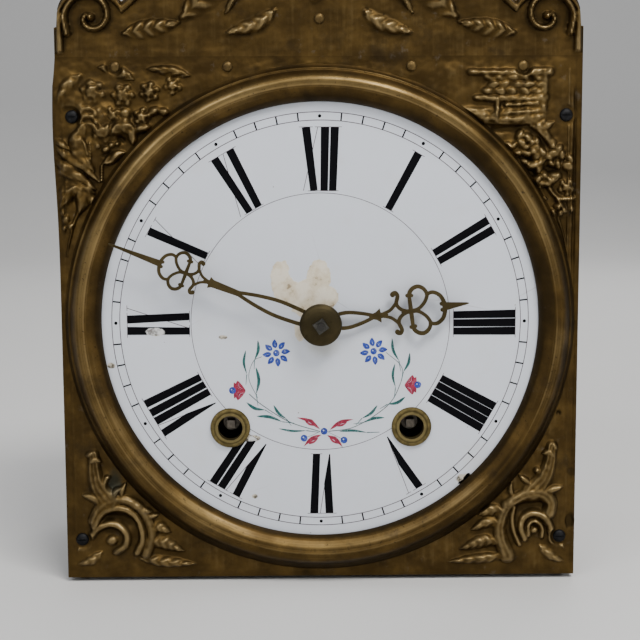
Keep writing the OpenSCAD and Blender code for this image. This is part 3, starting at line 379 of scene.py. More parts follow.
def hairline_ink():
    """The finest lines, fired thin, so they come out brown-grey."""
    f = Finish("hairline ink")
    pool = f.noise(240.0, 4.0, 0.6)
    tone = f.ramp(pool, (0.30, (0.030, 0.017, 0.022)), (0.55, (0.060, 0.038, 0.046)),
                  (0.75, (0.14, 0.11, 0.125)))
    return f.done(Base_Color=tone, Roughness=0.42, Specular_IOR_Level=0.15, Normal=f.bump(pool, 0.1, 0.0001))


def plain_brass(name, colour, dark, rough, grain=220.0, ring=None):
    """Dull spotted brass; ring is the axis, as (x, z), of lines left by turning."""
    f = Finish(name)
    broad = f.noise(55.0, 4.0)
    fine = f.noise(grain, 5.0, 0.62)
    tone = f.mix(f.step(broad * 0.6 + fine * 0.4, 0.36, 0.66), dark, colour)
    spots = f.step(f.noise(480.0, 4.0, 0.6, shift=(2, 6, 1)), 0.62, 0.72)
    tone = f.mix(spots * 0.5, tone, tuple(0.45 * part for part in dark))
    height = fine
    if ring:
        height = fine * 0.4 + f.rings(f.distance(*ring), 4200.0, 2.0) * 0.6
    return f.done(Base_Color=tone, Metallic=0.9, Roughness=rough + (fine - 0.5) * 0.18 + spots * 0.15,
                  Normal=f.bump(height, 0.25, 0.0003))


def eyelet_brass():
    """Olive brass with a turned groove between the flange and the lip of each eyelet."""
    f = Finish("eyelet brass")
    away = f.axis("X").size() - EYELET_X
    radius = (away ** 2.0 + (f.axis("Z") - EYELET_Z) ** 2.0) ** 0.5
    groove_radius = 7.9 * MM
    groove = 1.0 - f.step((radius - groove_radius).size(), 0.0002, 0.0006)
    lip = 1.0 - f.step(radius, 0.0072, 0.0077)
    fine = f.noise(300.0, 5.0, 0.62)
    tone = f.mix(f.step(fine, 0.36, 0.66), (0.095, 0.072, 0.026), (0.190, 0.145, 0.055))
    tone = f.mix(lip * 0.5, tone, (0.24, 0.19, 0.08))
    # Painted shade: the groove is darkened as well as bumped
    tone = f.mix(groove * 0.5, tone, (0.03, 0.023, 0.01))
    return f.done(Base_Color=tone, Metallic=0.95, Roughness=0.44 + (fine - 0.5) * 0.2,
                  Normal=f.bump(fine * 0.4 - groove * 1.5, 0.3, 0.0004))


def wheel_metal(name, axis, core):
    """Brass wheel on a steel arbor: the metal changes with the distance from the axis."""
    f = Finish(name)
    radius = f.distance(*axis)
    steel = 1.0 - f.step(radius, 0.0050, 0.0054)
    fine = f.noise(300.0, 5.0, 0.6)
    tarnish = f.step(f.noise(75.0, 4.0), 0.40, 0.70)
    brass = f.mix(tarnish, (0.36, 0.25, 0.085), (0.17, 0.115, 0.045))
    iron = f.mix(fine, core, tuple(1.6 * part for part in core))
    tone = f.mix(steel, brass, iron)
    rings = f.rings(radius, 3600.0, 2.0)
    return f.done(Base_Color=tone, Metallic=0.92, Roughness=0.34 + tarnish * 0.12 + (fine - 0.5) * 0.12,
                  Normal=f.bump(fine * 0.4 + rings * 0.6, 0.2, 0.0002))


def forged_iron(name, colour, rust, metal=0.72):
    """Dark hammered iron; rust is how strongly it has browned."""
    f = Finish(name)
    hammer = f.noise(70.0, 3.0)
    fine = f.noise(380.0, 6.0, 0.66)
    tone = f.mix(f.step(fine, 0.35, 0.7), colour, tuple(1.9 * part for part in colour))
    brown = f.step(f.noise(42.0, 6.0, 0.7, shift=(5, 1, 3)), 0.52, 0.72)
    tone = f.mix(brown * rust, tone, (0.085, 0.042, 0.020))
    return f.done(Base_Color=tone, Metallic=metal, Roughness=0.52 + (fine - 0.5) * 0.24 + brown * 0.12,
                  Normal=f.bump(hammer * 0.6 + fine * 0.4, 0.35, 0.0006))


def worn_steel():
    """Grey steel with rust spots and streaks from front to back."""
    f = Finish("worn steel")
    fine = f.noise(420.0, 5.0, 0.64)
    streak = f.noise(260.0, 3.0, 0.5, stretch=(1.0, 0.15, 1.0))
    tone = f.mix(f.step(fine, 0.38, 0.68), (0.20, 0.19, 0.175), (0.36, 0.345, 0.33))
    spots = f.step(f.noise(150.0, 5.0, 0.7), 0.60, 0.74)
    tone = f.mix(spots * 0.6, tone, (0.085, 0.055, 0.034))
    return f.done(Base_Color=tone, Metallic=0.92, Roughness=0.36 + spots * 0.2 + (fine - 0.5) * 0.12,
                  Normal=f.bump(streak, 0.18, 0.0003))


def bell_bronze():
    """Turned bronze under a dull skin with some green."""
    f = Finish("bell bronze")
    lo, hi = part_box("bell")
    rings = f.rings(f.distance(0.5 * (lo[0] + hi[0]), 0.5 * (lo[1] + hi[1]), "XY"), 2600.0, 3.0)
    skin = f.noise(60.0, 5.0, 0.65)
    tone = f.mix(f.step(skin, 0.35, 0.7), (0.30, 0.245, 0.155), (0.20, 0.165, 0.105))
    green = f.step(f.noise(33.0, 5.0, 0.7, shift=(8, 1, 2)), 0.60, 0.75)
    tone = f.mix(green * 0.35, tone, (0.10, 0.13, 0.10))
    return f.done(Base_Color=tone, Metallic=0.92, Roughness=0.36 + skin * 0.14,
                  Normal=f.bump(rings, 0.22, 0.0003))


# Modelling helpers


def alone():
    """Deselects everything, so that an operator acts only on what comes next."""
    bpy.ops.object.select_all(action="DESELECT")


def finished(obj, name, material, body, smooth=True):
    """Names a piece, puts its place into its mesh, and gives it its finish and its body."""
    obj.name = obj.data.name = name
    alone()
    obj.select_set(True)
    bpy.context.view_layer.objects.active = obj
    bpy.ops.object.transform_apply(location=True, rotation=True, scale=True)
    if smooth:
        bpy.ops.object.shade_smooth_by_angle(angle=math.radians(40))
    obj.data.materials.clear()
    obj.data.materials.append(material)
    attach(obj, body)
    return obj


def thickened(obj, depth, offset=-1.0):
    """Gives a sheet its gauge."""
    wall = obj.modifiers.new("gauge", "SOLIDIFY")
    wall.thickness = depth
    wall.offset = offset
    wall.use_even_offset = False
    bpy.context.view_layer.objects.active = obj
    bpy.ops.object.modifier_apply(modifier=wall.name)


def recalculated(obj):
    """Merges doubles and points the faces outwards."""
    alone()
    obj.select_set(True)
    bpy.context.view_layer.objects.active = obj
    bpy.ops.object.mode_set(mode="EDIT")
    bpy.ops.mesh.select_all(action="SELECT")
    bpy.ops.mesh.remove_doubles(threshold=1e-6)
    bpy.ops.mesh.normals_make_consistent(inside=False)
    bpy.ops.object.mode_set(mode="OBJECT")


def turned(profile, steps, centre):
    """Spins a line of (radius, y) points round a line along y, at the centre's x and z."""
    alone()
    bpy.ops.mesh.primitive_circle_add(vertices=3, radius=0.01, fill_type="NOTHING")
    obj = bpy.context.object
    mesh = obj.data
    mesh.clear_geometry()
    mesh.from_pydata([(centre[0] + r, y, centre[1]) for r, y in profile],
                     [(i, i + 1) for i in range(len(profile) - 1)], [])
    bpy.ops.object.mode_set(mode="EDIT")
    bpy.ops.mesh.select_all(action="SELECT")
    bpy.ops.mesh.spin(steps=steps, angle=2 * math.pi, center=(centre[0], 0, centre[1]), axis=(0, 1, 0))
    bpy.ops.object.mode_set(mode="OBJECT")
    recalculated(obj)
    return obj


def places(obj):
    """Where a mesh's points lie, one row each."""
    flat = np.empty(len(obj.data.vertices) * 3)
    obj.data.vertices.foreach_get("co", flat)
    return flat.reshape(-1, 3)


def pressed(obj, x, y, z):
    """Moves a mesh's points into place."""
    obj.data.vertices.foreach_set("co", np.column_stack([x, y, z]).ravel())
    obj.data.update()


def facing_front(obj):
    """Turns a sheet's faces towards the front."""
    if np.mean([face.normal.y for face in obj.data.polygons]) > 0:
        obj.data.flip_normals()


def sheet_grid(columns, rows):
    """A flat grid whose points are then pressed into place: returns it with its two rising parameters."""
    alone()
    bpy.ops.mesh.primitive_grid_add(x_subdivisions=columns, y_subdivisions=rows, size=2.0)
    obj = bpy.context.object
    flat = places(obj)
    return obj, (flat[:, 0] + 1) / 2, (flat[:, 1] + 1) / 2


def marked(obj, name, values):
    """Stores a value for each point, for a finish to read."""
    layer = obj.data.attributes.new(name, "FLOAT", "POINT")
    layer.data.foreach_set("value", values.astype(np.float32))


def curve_through(points, count):
    """A smooth line through a few points."""
    p = np.asarray(points, float)
    if len(p) == 2:
        return p[0] + (p[1] - p[0]) * np.linspace(0, 1, count)[:, None]
    q = np.vstack([2 * p[0] - p[1], p, 2 * p[-1] - p[-2]])
    out = []
    for t in np.linspace(0, len(p) - 1 - 1e-9, count):
        i = int(t)
        u = t - i
        a, b, c, d = q[i:i + 4]
        square, cube = 2 * a - 5 * b + 4 * c - d, 3 * b - a - 3 * c + d
        out.append(0.5 * (2 * b + (c - a) * u + square * u * u + cube * u ** 3))
    return np.array(out)


def waves(x, z, seed, scale):
    """A soft seeded unevenness of about unit size."""
    count = 14
    rng = np.random.default_rng(seed)
    total = np.zeros_like(x)
    for _ in range(count):
        a = rng.uniform(0, 2 * math.pi)
        k = rng.uniform(0.5, 1.6) * 2 * math.pi / scale
        total += np.sin(k * (x * math.cos(a) + z * math.sin(a)) + rng.uniform(0, 6.28))
    return total / math.sqrt(count)


class Relief:
    """Height in mm of embossed work over a field of points, form by form, soft where forms meet."""

    def __init__(self, x, z, fat=1.0):
        self.x = x
        self.z = z
        self.fat = fat
        self.h = np.zeros_like(x)

    def _over(self, near, shape, h, soft=0.45):
        """Lays a form over what is there, blended where they meet."""
        old = self.h[near]
        new = shape * (h + 0.8) - 0.8
        self.h[near] = np.maximum(old, new) + np.maximum(soft - np.abs(old - new), 0) ** 2 / (4 * soft)

    def berry(self, x, z, r, h, squash=1.0, turn=0.0, dent=0.0):
        """A round or oval knob, with a dent in its crown."""
        r = r * self.fat
        near = np.hypot(self.x - x, self.z - z) < 1.3 * r * max(1.0, squash) + 0.5
        dx, dz = self.x[near] - x, self.z[near] - z
        c, s = math.cos(math.radians(turn)), math.sin(math.radians(turn))
        d = np.hypot((dx * c + dz * s) / r, (dz * c - dx * s) / (r * squash))
        shape = np.cos(0.5 * math.pi * np.clip(d, 0, 1)) ** 1.1
        self._over(near, shape - dent * np.exp(-(d / 0.4) ** 2), h, 0.8)

    def _along(self, points, reach):
        """The points near a line, with their distance, side and share of its length."""
        path = curve_through(points, 36)
        lo, hi = path.min(0) - reach, path.max(0) + reach
        near = np.flatnonzero((self.x > lo[0]) & (self.x < hi[0]) & (self.z > lo[1]) & (self.z < hi[1]))
        px, pz = self.x[near], self.z[near]
        best = np.full(len(near), 1e9)
        side = np.zeros(len(near))
        place = np.zeros(len(near))
        lengths = np.concatenate([[0], np.cumsum(np.hypot(*np.diff(path, axis=0).T))])
        for i in range(len(path) - 1):
            a, b = path[i], path[i + 1]
            ex, ez = b - a
            ll = ex * ex + ez * ez + 1e-12
            t = np.clip(((px - a[0]) * ex + (pz - a[1]) * ez) / ll, 0, 1)
            d = np.hypot(px - a[0] - t * ex, pz - a[1] - t * ez)
            better = d < best
            best = np.where(better, d, best)
            side = np.where(better, np.sign((px - a[0]) * ez - (pz - a[1]) * ex), side)
            place = np.where(better, (lengths[i] + t * (lengths[i + 1] - lengths[i])) / lengths[-1], place)
        return near, best, side, place

    def _crested(self, s, skew):
        """1 on the crest, 0 at both edges; skew moves the crest to the right of the path, in half widths."""
        away = np.where(s > skew, (s - skew) / (1 - skew), (skew - s) / (1 + skew))
        return np.cos(0.5 * math.pi * np.clip(away, 0, 1)) ** 1.3

    def ridge(self, points, w, h, ends=(1.0, 1.0), skew=0.0, cords=1):
        """A rounded cord along a line, or a band of parallel cords; ends give its width at start and end."""
        w = w * self.fat
        near, d, side, t = self._along(points, w + 0.6)
        width = np.maximum(w * (ends[0] + (ends[1] - ends[0]) * t), 1e-3)
        s = side * d / width
        shape = self._crested(s, skew)
        if cords > 1:
            shape = np.clip(1 - np.abs(s) ** 3, 0, 1) ** 0.7 * (1 + 0.3 * skew * s)
            shape = shape * (0.86 + 0.14 * np.cos(math.pi * cords * (s + 1)))
        self._over(near, shape * (0.5 + 0.5 * width / w), h)

    def leaf(self, points, w, h, skew=0.0, ribs=0, tip=0.75, vein=0.0):
        """A leaf along its vein, with its crest to one side, and ribs or a sunk vein."""
        w = w * self.fat
        near, d, side, t = self._along(points, w * 1.2 + 0.6)
        width = np.maximum(w * np.sin(math.pi * np.clip(t, 0.03, 0.98) ** tip) ** 0.7, 0.05)
        s = side * d / width
        shape = self._crested(s, skew) ** 0.65 * (0.72 + 0.28 * np.sin(math.pi * t))
        if ribs:
            shape = shape * (1 - 0.16 + 0.16 * np.cos(2 * math.pi * (ribs * t - 0.7 * np.abs(s))))
        self._over(near, shape - vein * np.exp(-(s / 0.25) ** 2) * (np.abs(s) < 1), h)

    def rose(self, x, z, r, h, petals=6, turn=0.0):
        """A full flower: lobed petals, a groove and a domed heart."""
        r = r * self.fat
        near = np.hypot(self.x - x, self.z - z) < 1.3 * r + 0.5
        dx, dz = self.x[near] - x, self.z[near] - z
        d = np.hypot(dx, dz) / r
        lobe = np.cos(petals * (np.arctan2(dz, dx) + turn) + 1.6 * d)
        out = d / (0.9 + 0.1 * lobe)
        shape = np.cos(0.5 * math.pi * np.clip(out, 0, 1)) ** 0.6
        shape *= 0.86 + 0.14 * lobe * np.clip(2.2 * d, 0, 1)
        shape -= 0.26 * np.exp(-((d - 0.52) / 0.12) ** 2)
        self._over(near, shape, h)

    def beads(self, points, r, h, count):
        """A row of berries."""
        for x, z in curve_through(points, count):
            self.berry(x, z, r, h)

    def sink(self, x, z, rx, rz, depth, turn=0.0):
        """A soft oval hollow."""
        dx, dz = self.x - x, self.z - z
        c, s = math.cos(math.radians(turn)), math.sin(math.radians(turn))
        u, v = (dx * c + dz * s) / rx, (dz * c - dx * s) / rz
        self.h -= depth * np.exp(-(u * u + v * v))


def blurred(field, passes):
    """Evens out a grid of heights."""
    for _ in range(passes):
        p = np.pad(field, 1, mode="edge")
        field = (p[1:-1, 1:-1] * 2 + p[:-2, 1:-1] + p[2:, 1:-1] + p[1:-1, :-2] + p[1:-1, 2:]) / 6
    return field


def rubbed(height, columns, rows):
    """How bare the brass is: high on ridges, low in hollows."""
    field = height.reshape(rows + 1, columns + 1)
    near = field - blurred(field, 12)
    wide = field - blurred(field, 60)
    return np.clip(0.30 + 0.30 * near + 0.16 * wide, 0, 1).ravel()


# Embossed corners, in mm from the dial's centre


def bouquet(p):
    """Upper left: full-blown flowers, a hooked leaf, blades and a lily, crowded together."""
    p.leaf([(-128, 112), (-112, 104), (-98, 96), (-86, 95)], 10, 1.2)
    p.leaf([(-112, 98), (-112, 86), (-114, 74)], 9, 1.1)
    for z in (105.6, 101.8, 98.2):
        p.ridge([(-117, z - 2.4), (-114.6, z), (-111.4, z - 0.2), (-109.6, z - 2.6)], 1.5, 3.0, skew=-0.3)
    p.rose(-101.6, 102.8, 4.0, 3.6, 5, 0.4)
    p.berry(-107.4, 103.6, 3.0, 2.8, 0.9, 20, 0.25)
    p.berry(-95.2, 103.6, 2.9, 2.6, 1.0, 0, 0.2)
    p.berry(-95, 99.8, 2.3, 2.4)
    p.rose(-87, 102, 4.2, 3.6, 5, 0.9)
    p.berry(-86.8, 96.6, 3.9, 3.5, 0.5, 10)
    p.berry(-81.2, 104.6, 3.2, 3.4, 0.7, 20)
    p.berry(-76.4, 104.2, 3.0, 3.2, 0.7, -15)
    p.sink(-86.5, 93.2, 3.4, 1.2, 1.6, 12)
    p.rose(-106.2, 94.6, 5.2, 3.4, 4, 0.9)
    for x, z in ((-111, 95.2), (-108, 98.8), (-103.2, 99)):
        p.leaf([(-105.4, 92), (0.5 * (x - 105.6), 0.5 * (z + 93.4)), (x, z)], 2.1, 4.2, 0.3)
    p.leaf([(-101.8, 93.4), (-97, 96.8), (-93, 94.6), (-91.4, 87.6)], 3.3, 4.3, -0.4, 3)
    p.sink(-97.8, 91, 2.0, 1.5, 2.2, -25)
    for x, z, r, h in ((-108.6, 87.4, 1.9, 3.2), (-105.2, 86, 2.3, 3.9), (-102.2, 88.2, 1.8, 3.3),
                       (-99.4, 88.8, 1.4, 2.8)):
        p.berry(x, z, r, h, 0.8, 20)
    p.sink(-104, 83.6, 3.8, 0.9, 1.4, 12)
    p.leaf([(-106.6, 79.4), (-102.6, 81.4), (-99, 84.2), (-95.4, 84.6)], 2.3, 3.6, 0.45, 2)
    p.sink(-101, 79.6, 4.6, 0.8, 1.0, 25)
    p.leaf([(-114.4, 96.4), (-118, 90), (-116.4, 83.6), (-111, 75.6)], 4.2, 3.6, 0.35)
    p.ridge([(-117.4, 93), (-114.8, 89.4), (-113.4, 84)], 1.3, 4.0, (0.7, 1.0), 0.3)
    p.ridge([(-118.6, 88.6), (-116, 84.2), (-113, 79.4)], 1.2, 3.8, (0.6, 1.0))
    p.beads([(-112.6, 89), (-112.4, 84), (-112.8, 78)], 1.0, 3.2, 8)
    p.beads([(-107.2, 78), (-107.4, 71)], 0.9, 2.4, 6)
    p.leaf([(-127.6, 87), (-121, 81.4), (-114.6, 76.6), (-108.4, 70.2)], 2.5, 3.4, 0.4)
    p.leaf([(-130, 82.4), (-123.6, 77.6), (-117, 72.4), (-110.4, 66.4)], 2.6, 3.7, 0.4)
    p.leaf([(-129, 91.4), (-125.4, 88.8), (-121.6, 85.6)], 1.7, 2.4, 0.3)
    p.leaf([(-129.4, 76), (-124.6, 75.2), (-118.4, 70.6)], 2.2, 2.6, 0.4)
    p.leaf([(-117, 70), (-123.6, 66.6), (-128, 58)], 4.4, 3.4, -0.5, 2)
    p.leaf([(-118.6, 68.6), (-116.6, 62.6), (-118.4, 55)], 4.0, 3.3, 0.2)
    p.leaf([(-119, 65.6), (-115, 66.6), (-110.8, 64.4)], 2.3, 4.0, -0.3, 2)
    p.ridge([(-127.4, 59), (-124.4, 64.4), (-120.4, 67.4), (-117.4, 66.2)], 1.3, 4.2, (0.6, 1.0), -0.3)
    p.leaf([(-115.6, 65), (-112.6, 62.4), (-112.4, 58)], 2.0, 2.8, 0.4)
    p.sink(-121.6, 62, 1.6, 2.4, 1.2, 30)
    for x, z, r in ((-125.4, 51.6, 2.2), (-123, 48.4, 1.7), (-127, 55, 1.7), (-126.4, 47.4, 1.4)):
        p.berry(x, z, r, 2.5)
    p.ridge([(-119, 56), (-121.6, 50), (-123.6, 43), (-125.6, 34)], 1.4, 1.0, (1.0, 0.4))
    for x, z, r, h, n in ((-96, 112.4, 5.4, 3.6, 6), (-110.6, 114, 5.8, 3.6, 6), (-83, 114, 4.8, 3.4, 6),
                          (-71.6, 117, 4.4, 3.0, 5)):
        p.rose(x, z, r, h, n, 0.7 * x)
    p.leaf([(-91, 120), (-99, 124), (-108, 126)], 3.0, 2.8, 0.3, 4)
    p.leaf([(-64, 121.6), (-74, 124), (-84, 125)], 2.6, 2.6, 0.3, 4)
    p.leaf([(-116.6, 122), (-122, 117), (-127, 109)], 3.0, 2.8, 0.3, 3)


def basket(p):
    """Upper right: the foot of a basket on a ledge, with hanging fruit, blossom and a sprig."""
    p.ridge([(66, 104), (82, 102.4), (108, 102.6)], 6.2, 1.6, (0.6, 1.0))
    p.ridge([(79.6, 100.4), (92, 100), (107.4, 100.4)], 2.8, 3.0, (0.8, 1.0), 0.3, 2)
    p.sink(95, 95.2, 14, 1.2, 1.8, 2)
    p.ridge([(86.8, 99), (87, 103), (87.4, 110)], 1.6, 3.3)
    p.ridge([(92.4, 103), (99, 103.6), (106.6, 103.8)], 1.2, 3.5, (0.9, 1.0))
    p.ridge([(91.6, 107), (99, 107.4), (107, 107.8)], 1.3, 2.8)
    for row in range(3):
        for k in range(5):
            x = 82.6 + 6.0 * k + 2.6 * (row % 2) + 0.6 * math.sin(3.0 * k + row)
            h = 2.1 + 0.4 * math.sin(2.3 * k + 1.7 * row)
            p.berry(x, 113.6 + 3.4 * row, 3.7, h, 0.56, 16 if row % 2 else -16)
    p.ridge([(77, 110.6), (90, 110), (111, 110.6)], 2.4, 2.4, (0.8, 1.0))
    p.ridge([(74, 123), (90, 122.6), (113, 123)], 2.8, 2.6, (0.7, 1.0))
    p.ridge([(109.6, 99), (110, 108), (110.4, 121)], 2.6, 1.8)
    p.ridge([(108, 96.4), (111, 93), (115, 88)], 2.8, 2.2, skew=0.4)
    p.sink(107.6, 91.8, 6.6, 1.0, 2.4, -43)
    p.leaf([(104, 97), (110, 96.6), (115.6, 98.6)], 2.4, 2.2, 0.3)
    cluster = ((92.4, 87.4, 2.2), (95.4, 87, 2.0), (98.6, 92, 2.6), (99.4, 88.6, 2.6), (102.6, 91, 2.6),
               (101.6, 86.2, 2.0), (106, 85.4, 3.0), (104.4, 88.6, 2.2), (107, 89.2, 2.0), (102, 83, 2.2),
               (97.6, 83.4, 2.2), (106.6, 81.6, 2.4), (109.2, 79, 2.1), (110, 83.6, 2.6), (112.8, 81.4, 2.2),
               (115, 83, 2.6), (117.6, 85.2, 2.5), (119.6, 82.4, 2.2), (123.4, 80.6, 2.1), (122.2, 77, 2.6),
               (105, 77.4, 2.4), (108.4, 75.4, 2.4), (111, 72.4, 2.6), (113.4, 70, 2.4), (116.6, 72.6, 2.7),
               (107.6, 70.6, 2.4), (109.6, 68.2, 2.0), (117.6, 77.4, 2.2), (114.4, 78, 2.0), (101, 79.4, 2.2))
    for i, (x, z, r) in enumerate(cluster):
        h = 1.8 + 0.6 * r + 0.5 * math.sin(5.1 * i)
        p.berry(x, z, 1.25 * r, h, 0.66, 37 * i, 0.2 if i % 3 == 0 else 0.0)
    p.leaf([(101, 79), (107, 78.4), (112, 80.5)], 2.2, 3.2, 0.3, 3)
    p.leaf([(106, 67), (113, 69), (119, 72)], 2.2, 3.2, 0.4, 3)
    for x, z, a, b in ((103.6, 80.6, 3.0, 1.2), (114.6, 75.2, 4.6, 1.5), (111, 66.6, 3.4, 1.1),
                       (104, 73.6, 2.4, 1.3), (97, 80.4, 2.2, 1.6)):
        p.sink(x, z, a, b, 1.9, -10)
    p.rose(122, 66.4, 4.0, 3.2, 5)
    p.ridge([(113.8, 66), (116, 63), (120, 61), (126, 61.4)], 1.3, 2.9, (1.0, 0.8), 0.3)
    p.ridge([(117.4, 61), (119, 58), (122, 54.8)], 1.3, 2.6, (1.0, 0.8))
    for x, z, r in ((117.6, 57, 2.0), (124.6, 55.8, 1.9), (115.4, 54, 2.0), (121, 55, 1.6), (119, 53.6, 1.6)):
        p.berry(x, z, r, 2.9)
    p.leaf([(106.5, 62.6), (109.6, 61), (112.6, 61)], 1.8, 2.4, 0.3)
    p.ridge([(118, 52), (121, 43), (123.6, 30)], 1.4, 0.8, (0.9, 0.3))
    p.ridge([(123.2, 30), (123, 60), (122.8, 92), (122.8, 124)], 0.9, 0.5)
    p.sink(126.2, 80, 0.7, 70, 0.6)


def left_scroll(p):
    """Lower left: a pointed leaf over a great C scroll of parallel cords."""
    p.ridge([(-107.4, -91), (-112.6, -84), (-114.6, -76), (-114.8, -67)], 5.0, 3.0, (1.0, 0.5), 0.5, 4)
    p.berry(-116.6, -66.6, 2.5, 3.8, 0.55, 30)
    p.leaf([(-116.6, -70.8), (-113.4, -69.4), (-110.6, -70.8)], 1.6, 3.6)
    p.ridge([(-106.2, -89), (-109.4, -83.6), (-108.6, -79)], 1.7, 3.0, (1.0, 0.8))
    p.berry(-108, -78.6, 1.9, 3.5, 0.6, 10)
    p.leaf([(-105, -89), (-104, -85.6), (-101, -83.6)], 1.8, 3.0, 0.3)
    p.leaf([(-101.4, -89), (-100.8, -85), (-98.6, -81)], 1.7, 2.2, 0.3)
    p.leaf([(-112.4, -92), (-116.2, -89.2), (-121.2, -87.8)], 2.0, 3.2, 0.3)
    p.ridge([(-116, -101), (-112.8, -94.8), (-106.8, -90.8), (-99.4, -90.2), (-92.8, -93.6), (-88, -100.4),
             (-86, -109), (-89, -119)], 2.4, 3.3, (0.9, 0.9), 0.4, 2)
    p.ridge([(-115.4, -104), (-111.6, -97.8), (-106, -94.6), (-100, -94.8), (-95, -98), (-91.4, -104),
             (-90.6, -111), (-93.6, -118)], 2.2, 4.2, (0.9, 0.9), 0.2)
    p.sink(-103, -101, 8.6, 2.4, 2.6, -10)
    p.ridge([(-117, -109), (-113.4, -105), (-107.6, -102.8), (-102, -104.2), (-98.6, -108.6), (-99.4, -114),
             (-104, -117.6)], 2.2, 3.4, (0.9, 1.0), 0.2)
    p.sink(-107, -107.4, 4.2, 1.8, 1.8, -10)
    p.berry(-106.4, -111.6, 3.0, 3.0, 0.9, 0, 0.3)
    p.leaf([(-91, -94.4), (-88.4, -95.8), (-85.4, -96.4)], 1.6, 2.4, 0.3)
    p.leaf([(-88, -99), (-85, -98.4), (-82, -97.6)], 1.6, 2.4, 0.3)
    p.leaf([(-86.4, -105), (-82, -104.4), (-76.5, -107.4)], 3.0, 2.6, 0.3, 3)
    p.leaf([(-88, -112), (-80, -112.5), (-70, -117)], 3.6, 2.8, 0.3, 5)
    p.leaf([(-92, -121), (-80, -122.5), (-64, -124)], 2.8, 2.6, 0.3, 5)
    p.leaf([(-112, -118), (-117, -122), (-124, -124)], 2.6, 2.6, 0.3, 3)
    p.leaf([(-114, -108), (-119, -111), (-124, -117)], 2.4, 2.4, 0.3, 3)


def right_scroll(p):
    """Lower right: the matching leaf and scroll, drawn a little freer."""
    p.ridge([(107.4, -88), (113, -81), (116, -73), (116.8, -64)], 5.0, 2.9, (1.0, 0.5), -0.5, 4)
    p.berry(118.2, -63.8, 2.7, 3.8, 0.5, -55)
    p.leaf([(112.4, -67.6), (115.4, -67), (118.6, -69.6)], 1.6, 3.7)
    p.berry(109.4, -76.4, 1.7, 2.8)
    p.leaf([(106, -83.4), (103.4, -81.4), (100.4, -79)], 1.6, 2.8, 0.3)
    p.leaf([(97.4, -90), (96, -86.4), (96.8, -82.4)], 1.6, 1.8, 0.3)
    p.leaf([(113.6, -87), (118.4, -86), (123.2, -84.8)], 1.8, 3.2, 0.3)
    p.ridge([(94.6, -94.6), (100.6, -90.6), (107.4, -88.2), (113, -89), (116.6, -93), (116, -98)], 3.7, 3.6,
            (0.75, 0.85), -0.4, 3)
    p.berry(96, -93.2, 3.0, 4.4, 0.7, 35)
    p.ridge([(95.6, -94), (92.6, -99.4), (91, -106), (92, -113), (95, -121)], 3.2, 3.1, (0.7, 1.1), 0.3, 3)
    p.ridge([(98.4, -95.8), (97.2, -101), (98, -108), (101, -115)], 1.6, 3.4, (0.9, 0.9))
    p.sink(106.6, -95.6, 7.4, 1.9, 2.6, 6)
    p.ridge([(118, -113), (116.8, -106.4), (113.6, -101), (108, -98.8), (103.4, -101), (101.8, -106),
             (104, -112)], 2.2, 3.4, (1.0, 0.9), 0.2)
    p.ridge([(112.4, -111), (112.4, -106), (109, -103), (105.6, -105), (105.6, -110)], 1.4, 3.2)
    p.sink(109.4, -104.8, 2.8, 1.1, 1.2, -10)
    p.berry(108.6, -107.6, 2.2, 3.4, 0.8, 15)
    p.leaf([(92.4, -98), (87, -97), (80, -99.8)], 3.2, 2.4, 0.3, 3)
    p.leaf([(91, -104), (84.4, -103.6), (76.4, -107.6)], 2.8, 2.8, 0.3, 3)
    p.leaf([(90, -114), (82, -113.5), (71, -117.5)], 3.4, 2.8, 0.3, 5)
    p.leaf([(94, -121), (81, -122.5), (65, -124)], 2.8, 2.6, 0.3, 5)
    p.leaf([(112, -116), (117.5, -121), (124, -124)], 2.6, 2.6, 0.3, 3)
    p.leaf([(115.4, -108), (119.6, -111), (124, -117)], 2.2, 2.4, 0.3, 3)
    p.sink(127.4, -60, 0.6, 70, 0.5)
    p.sink(127, -103.5, 1.7, 1.9, 3.4)
    p.sink(120.2, -47, 0.8, 0.8, 1.4)


# Brush strokes and letters on the enamel


def dome(r):
    """How far the enamel falls back at a radius, both in mm."""
    return DIAL_SAG * r * r / (DIAL_OUT * DIAL_OUT)


def hour_turn(hour):
    """Turns rows of (offset clockwise, radius) at an hour into rows of (x, z)."""
    a = math.radians(30 * hour)
    return np.array([[math.cos(a), -math.sin(a)], [math.sin(a), math.cos(a)]])


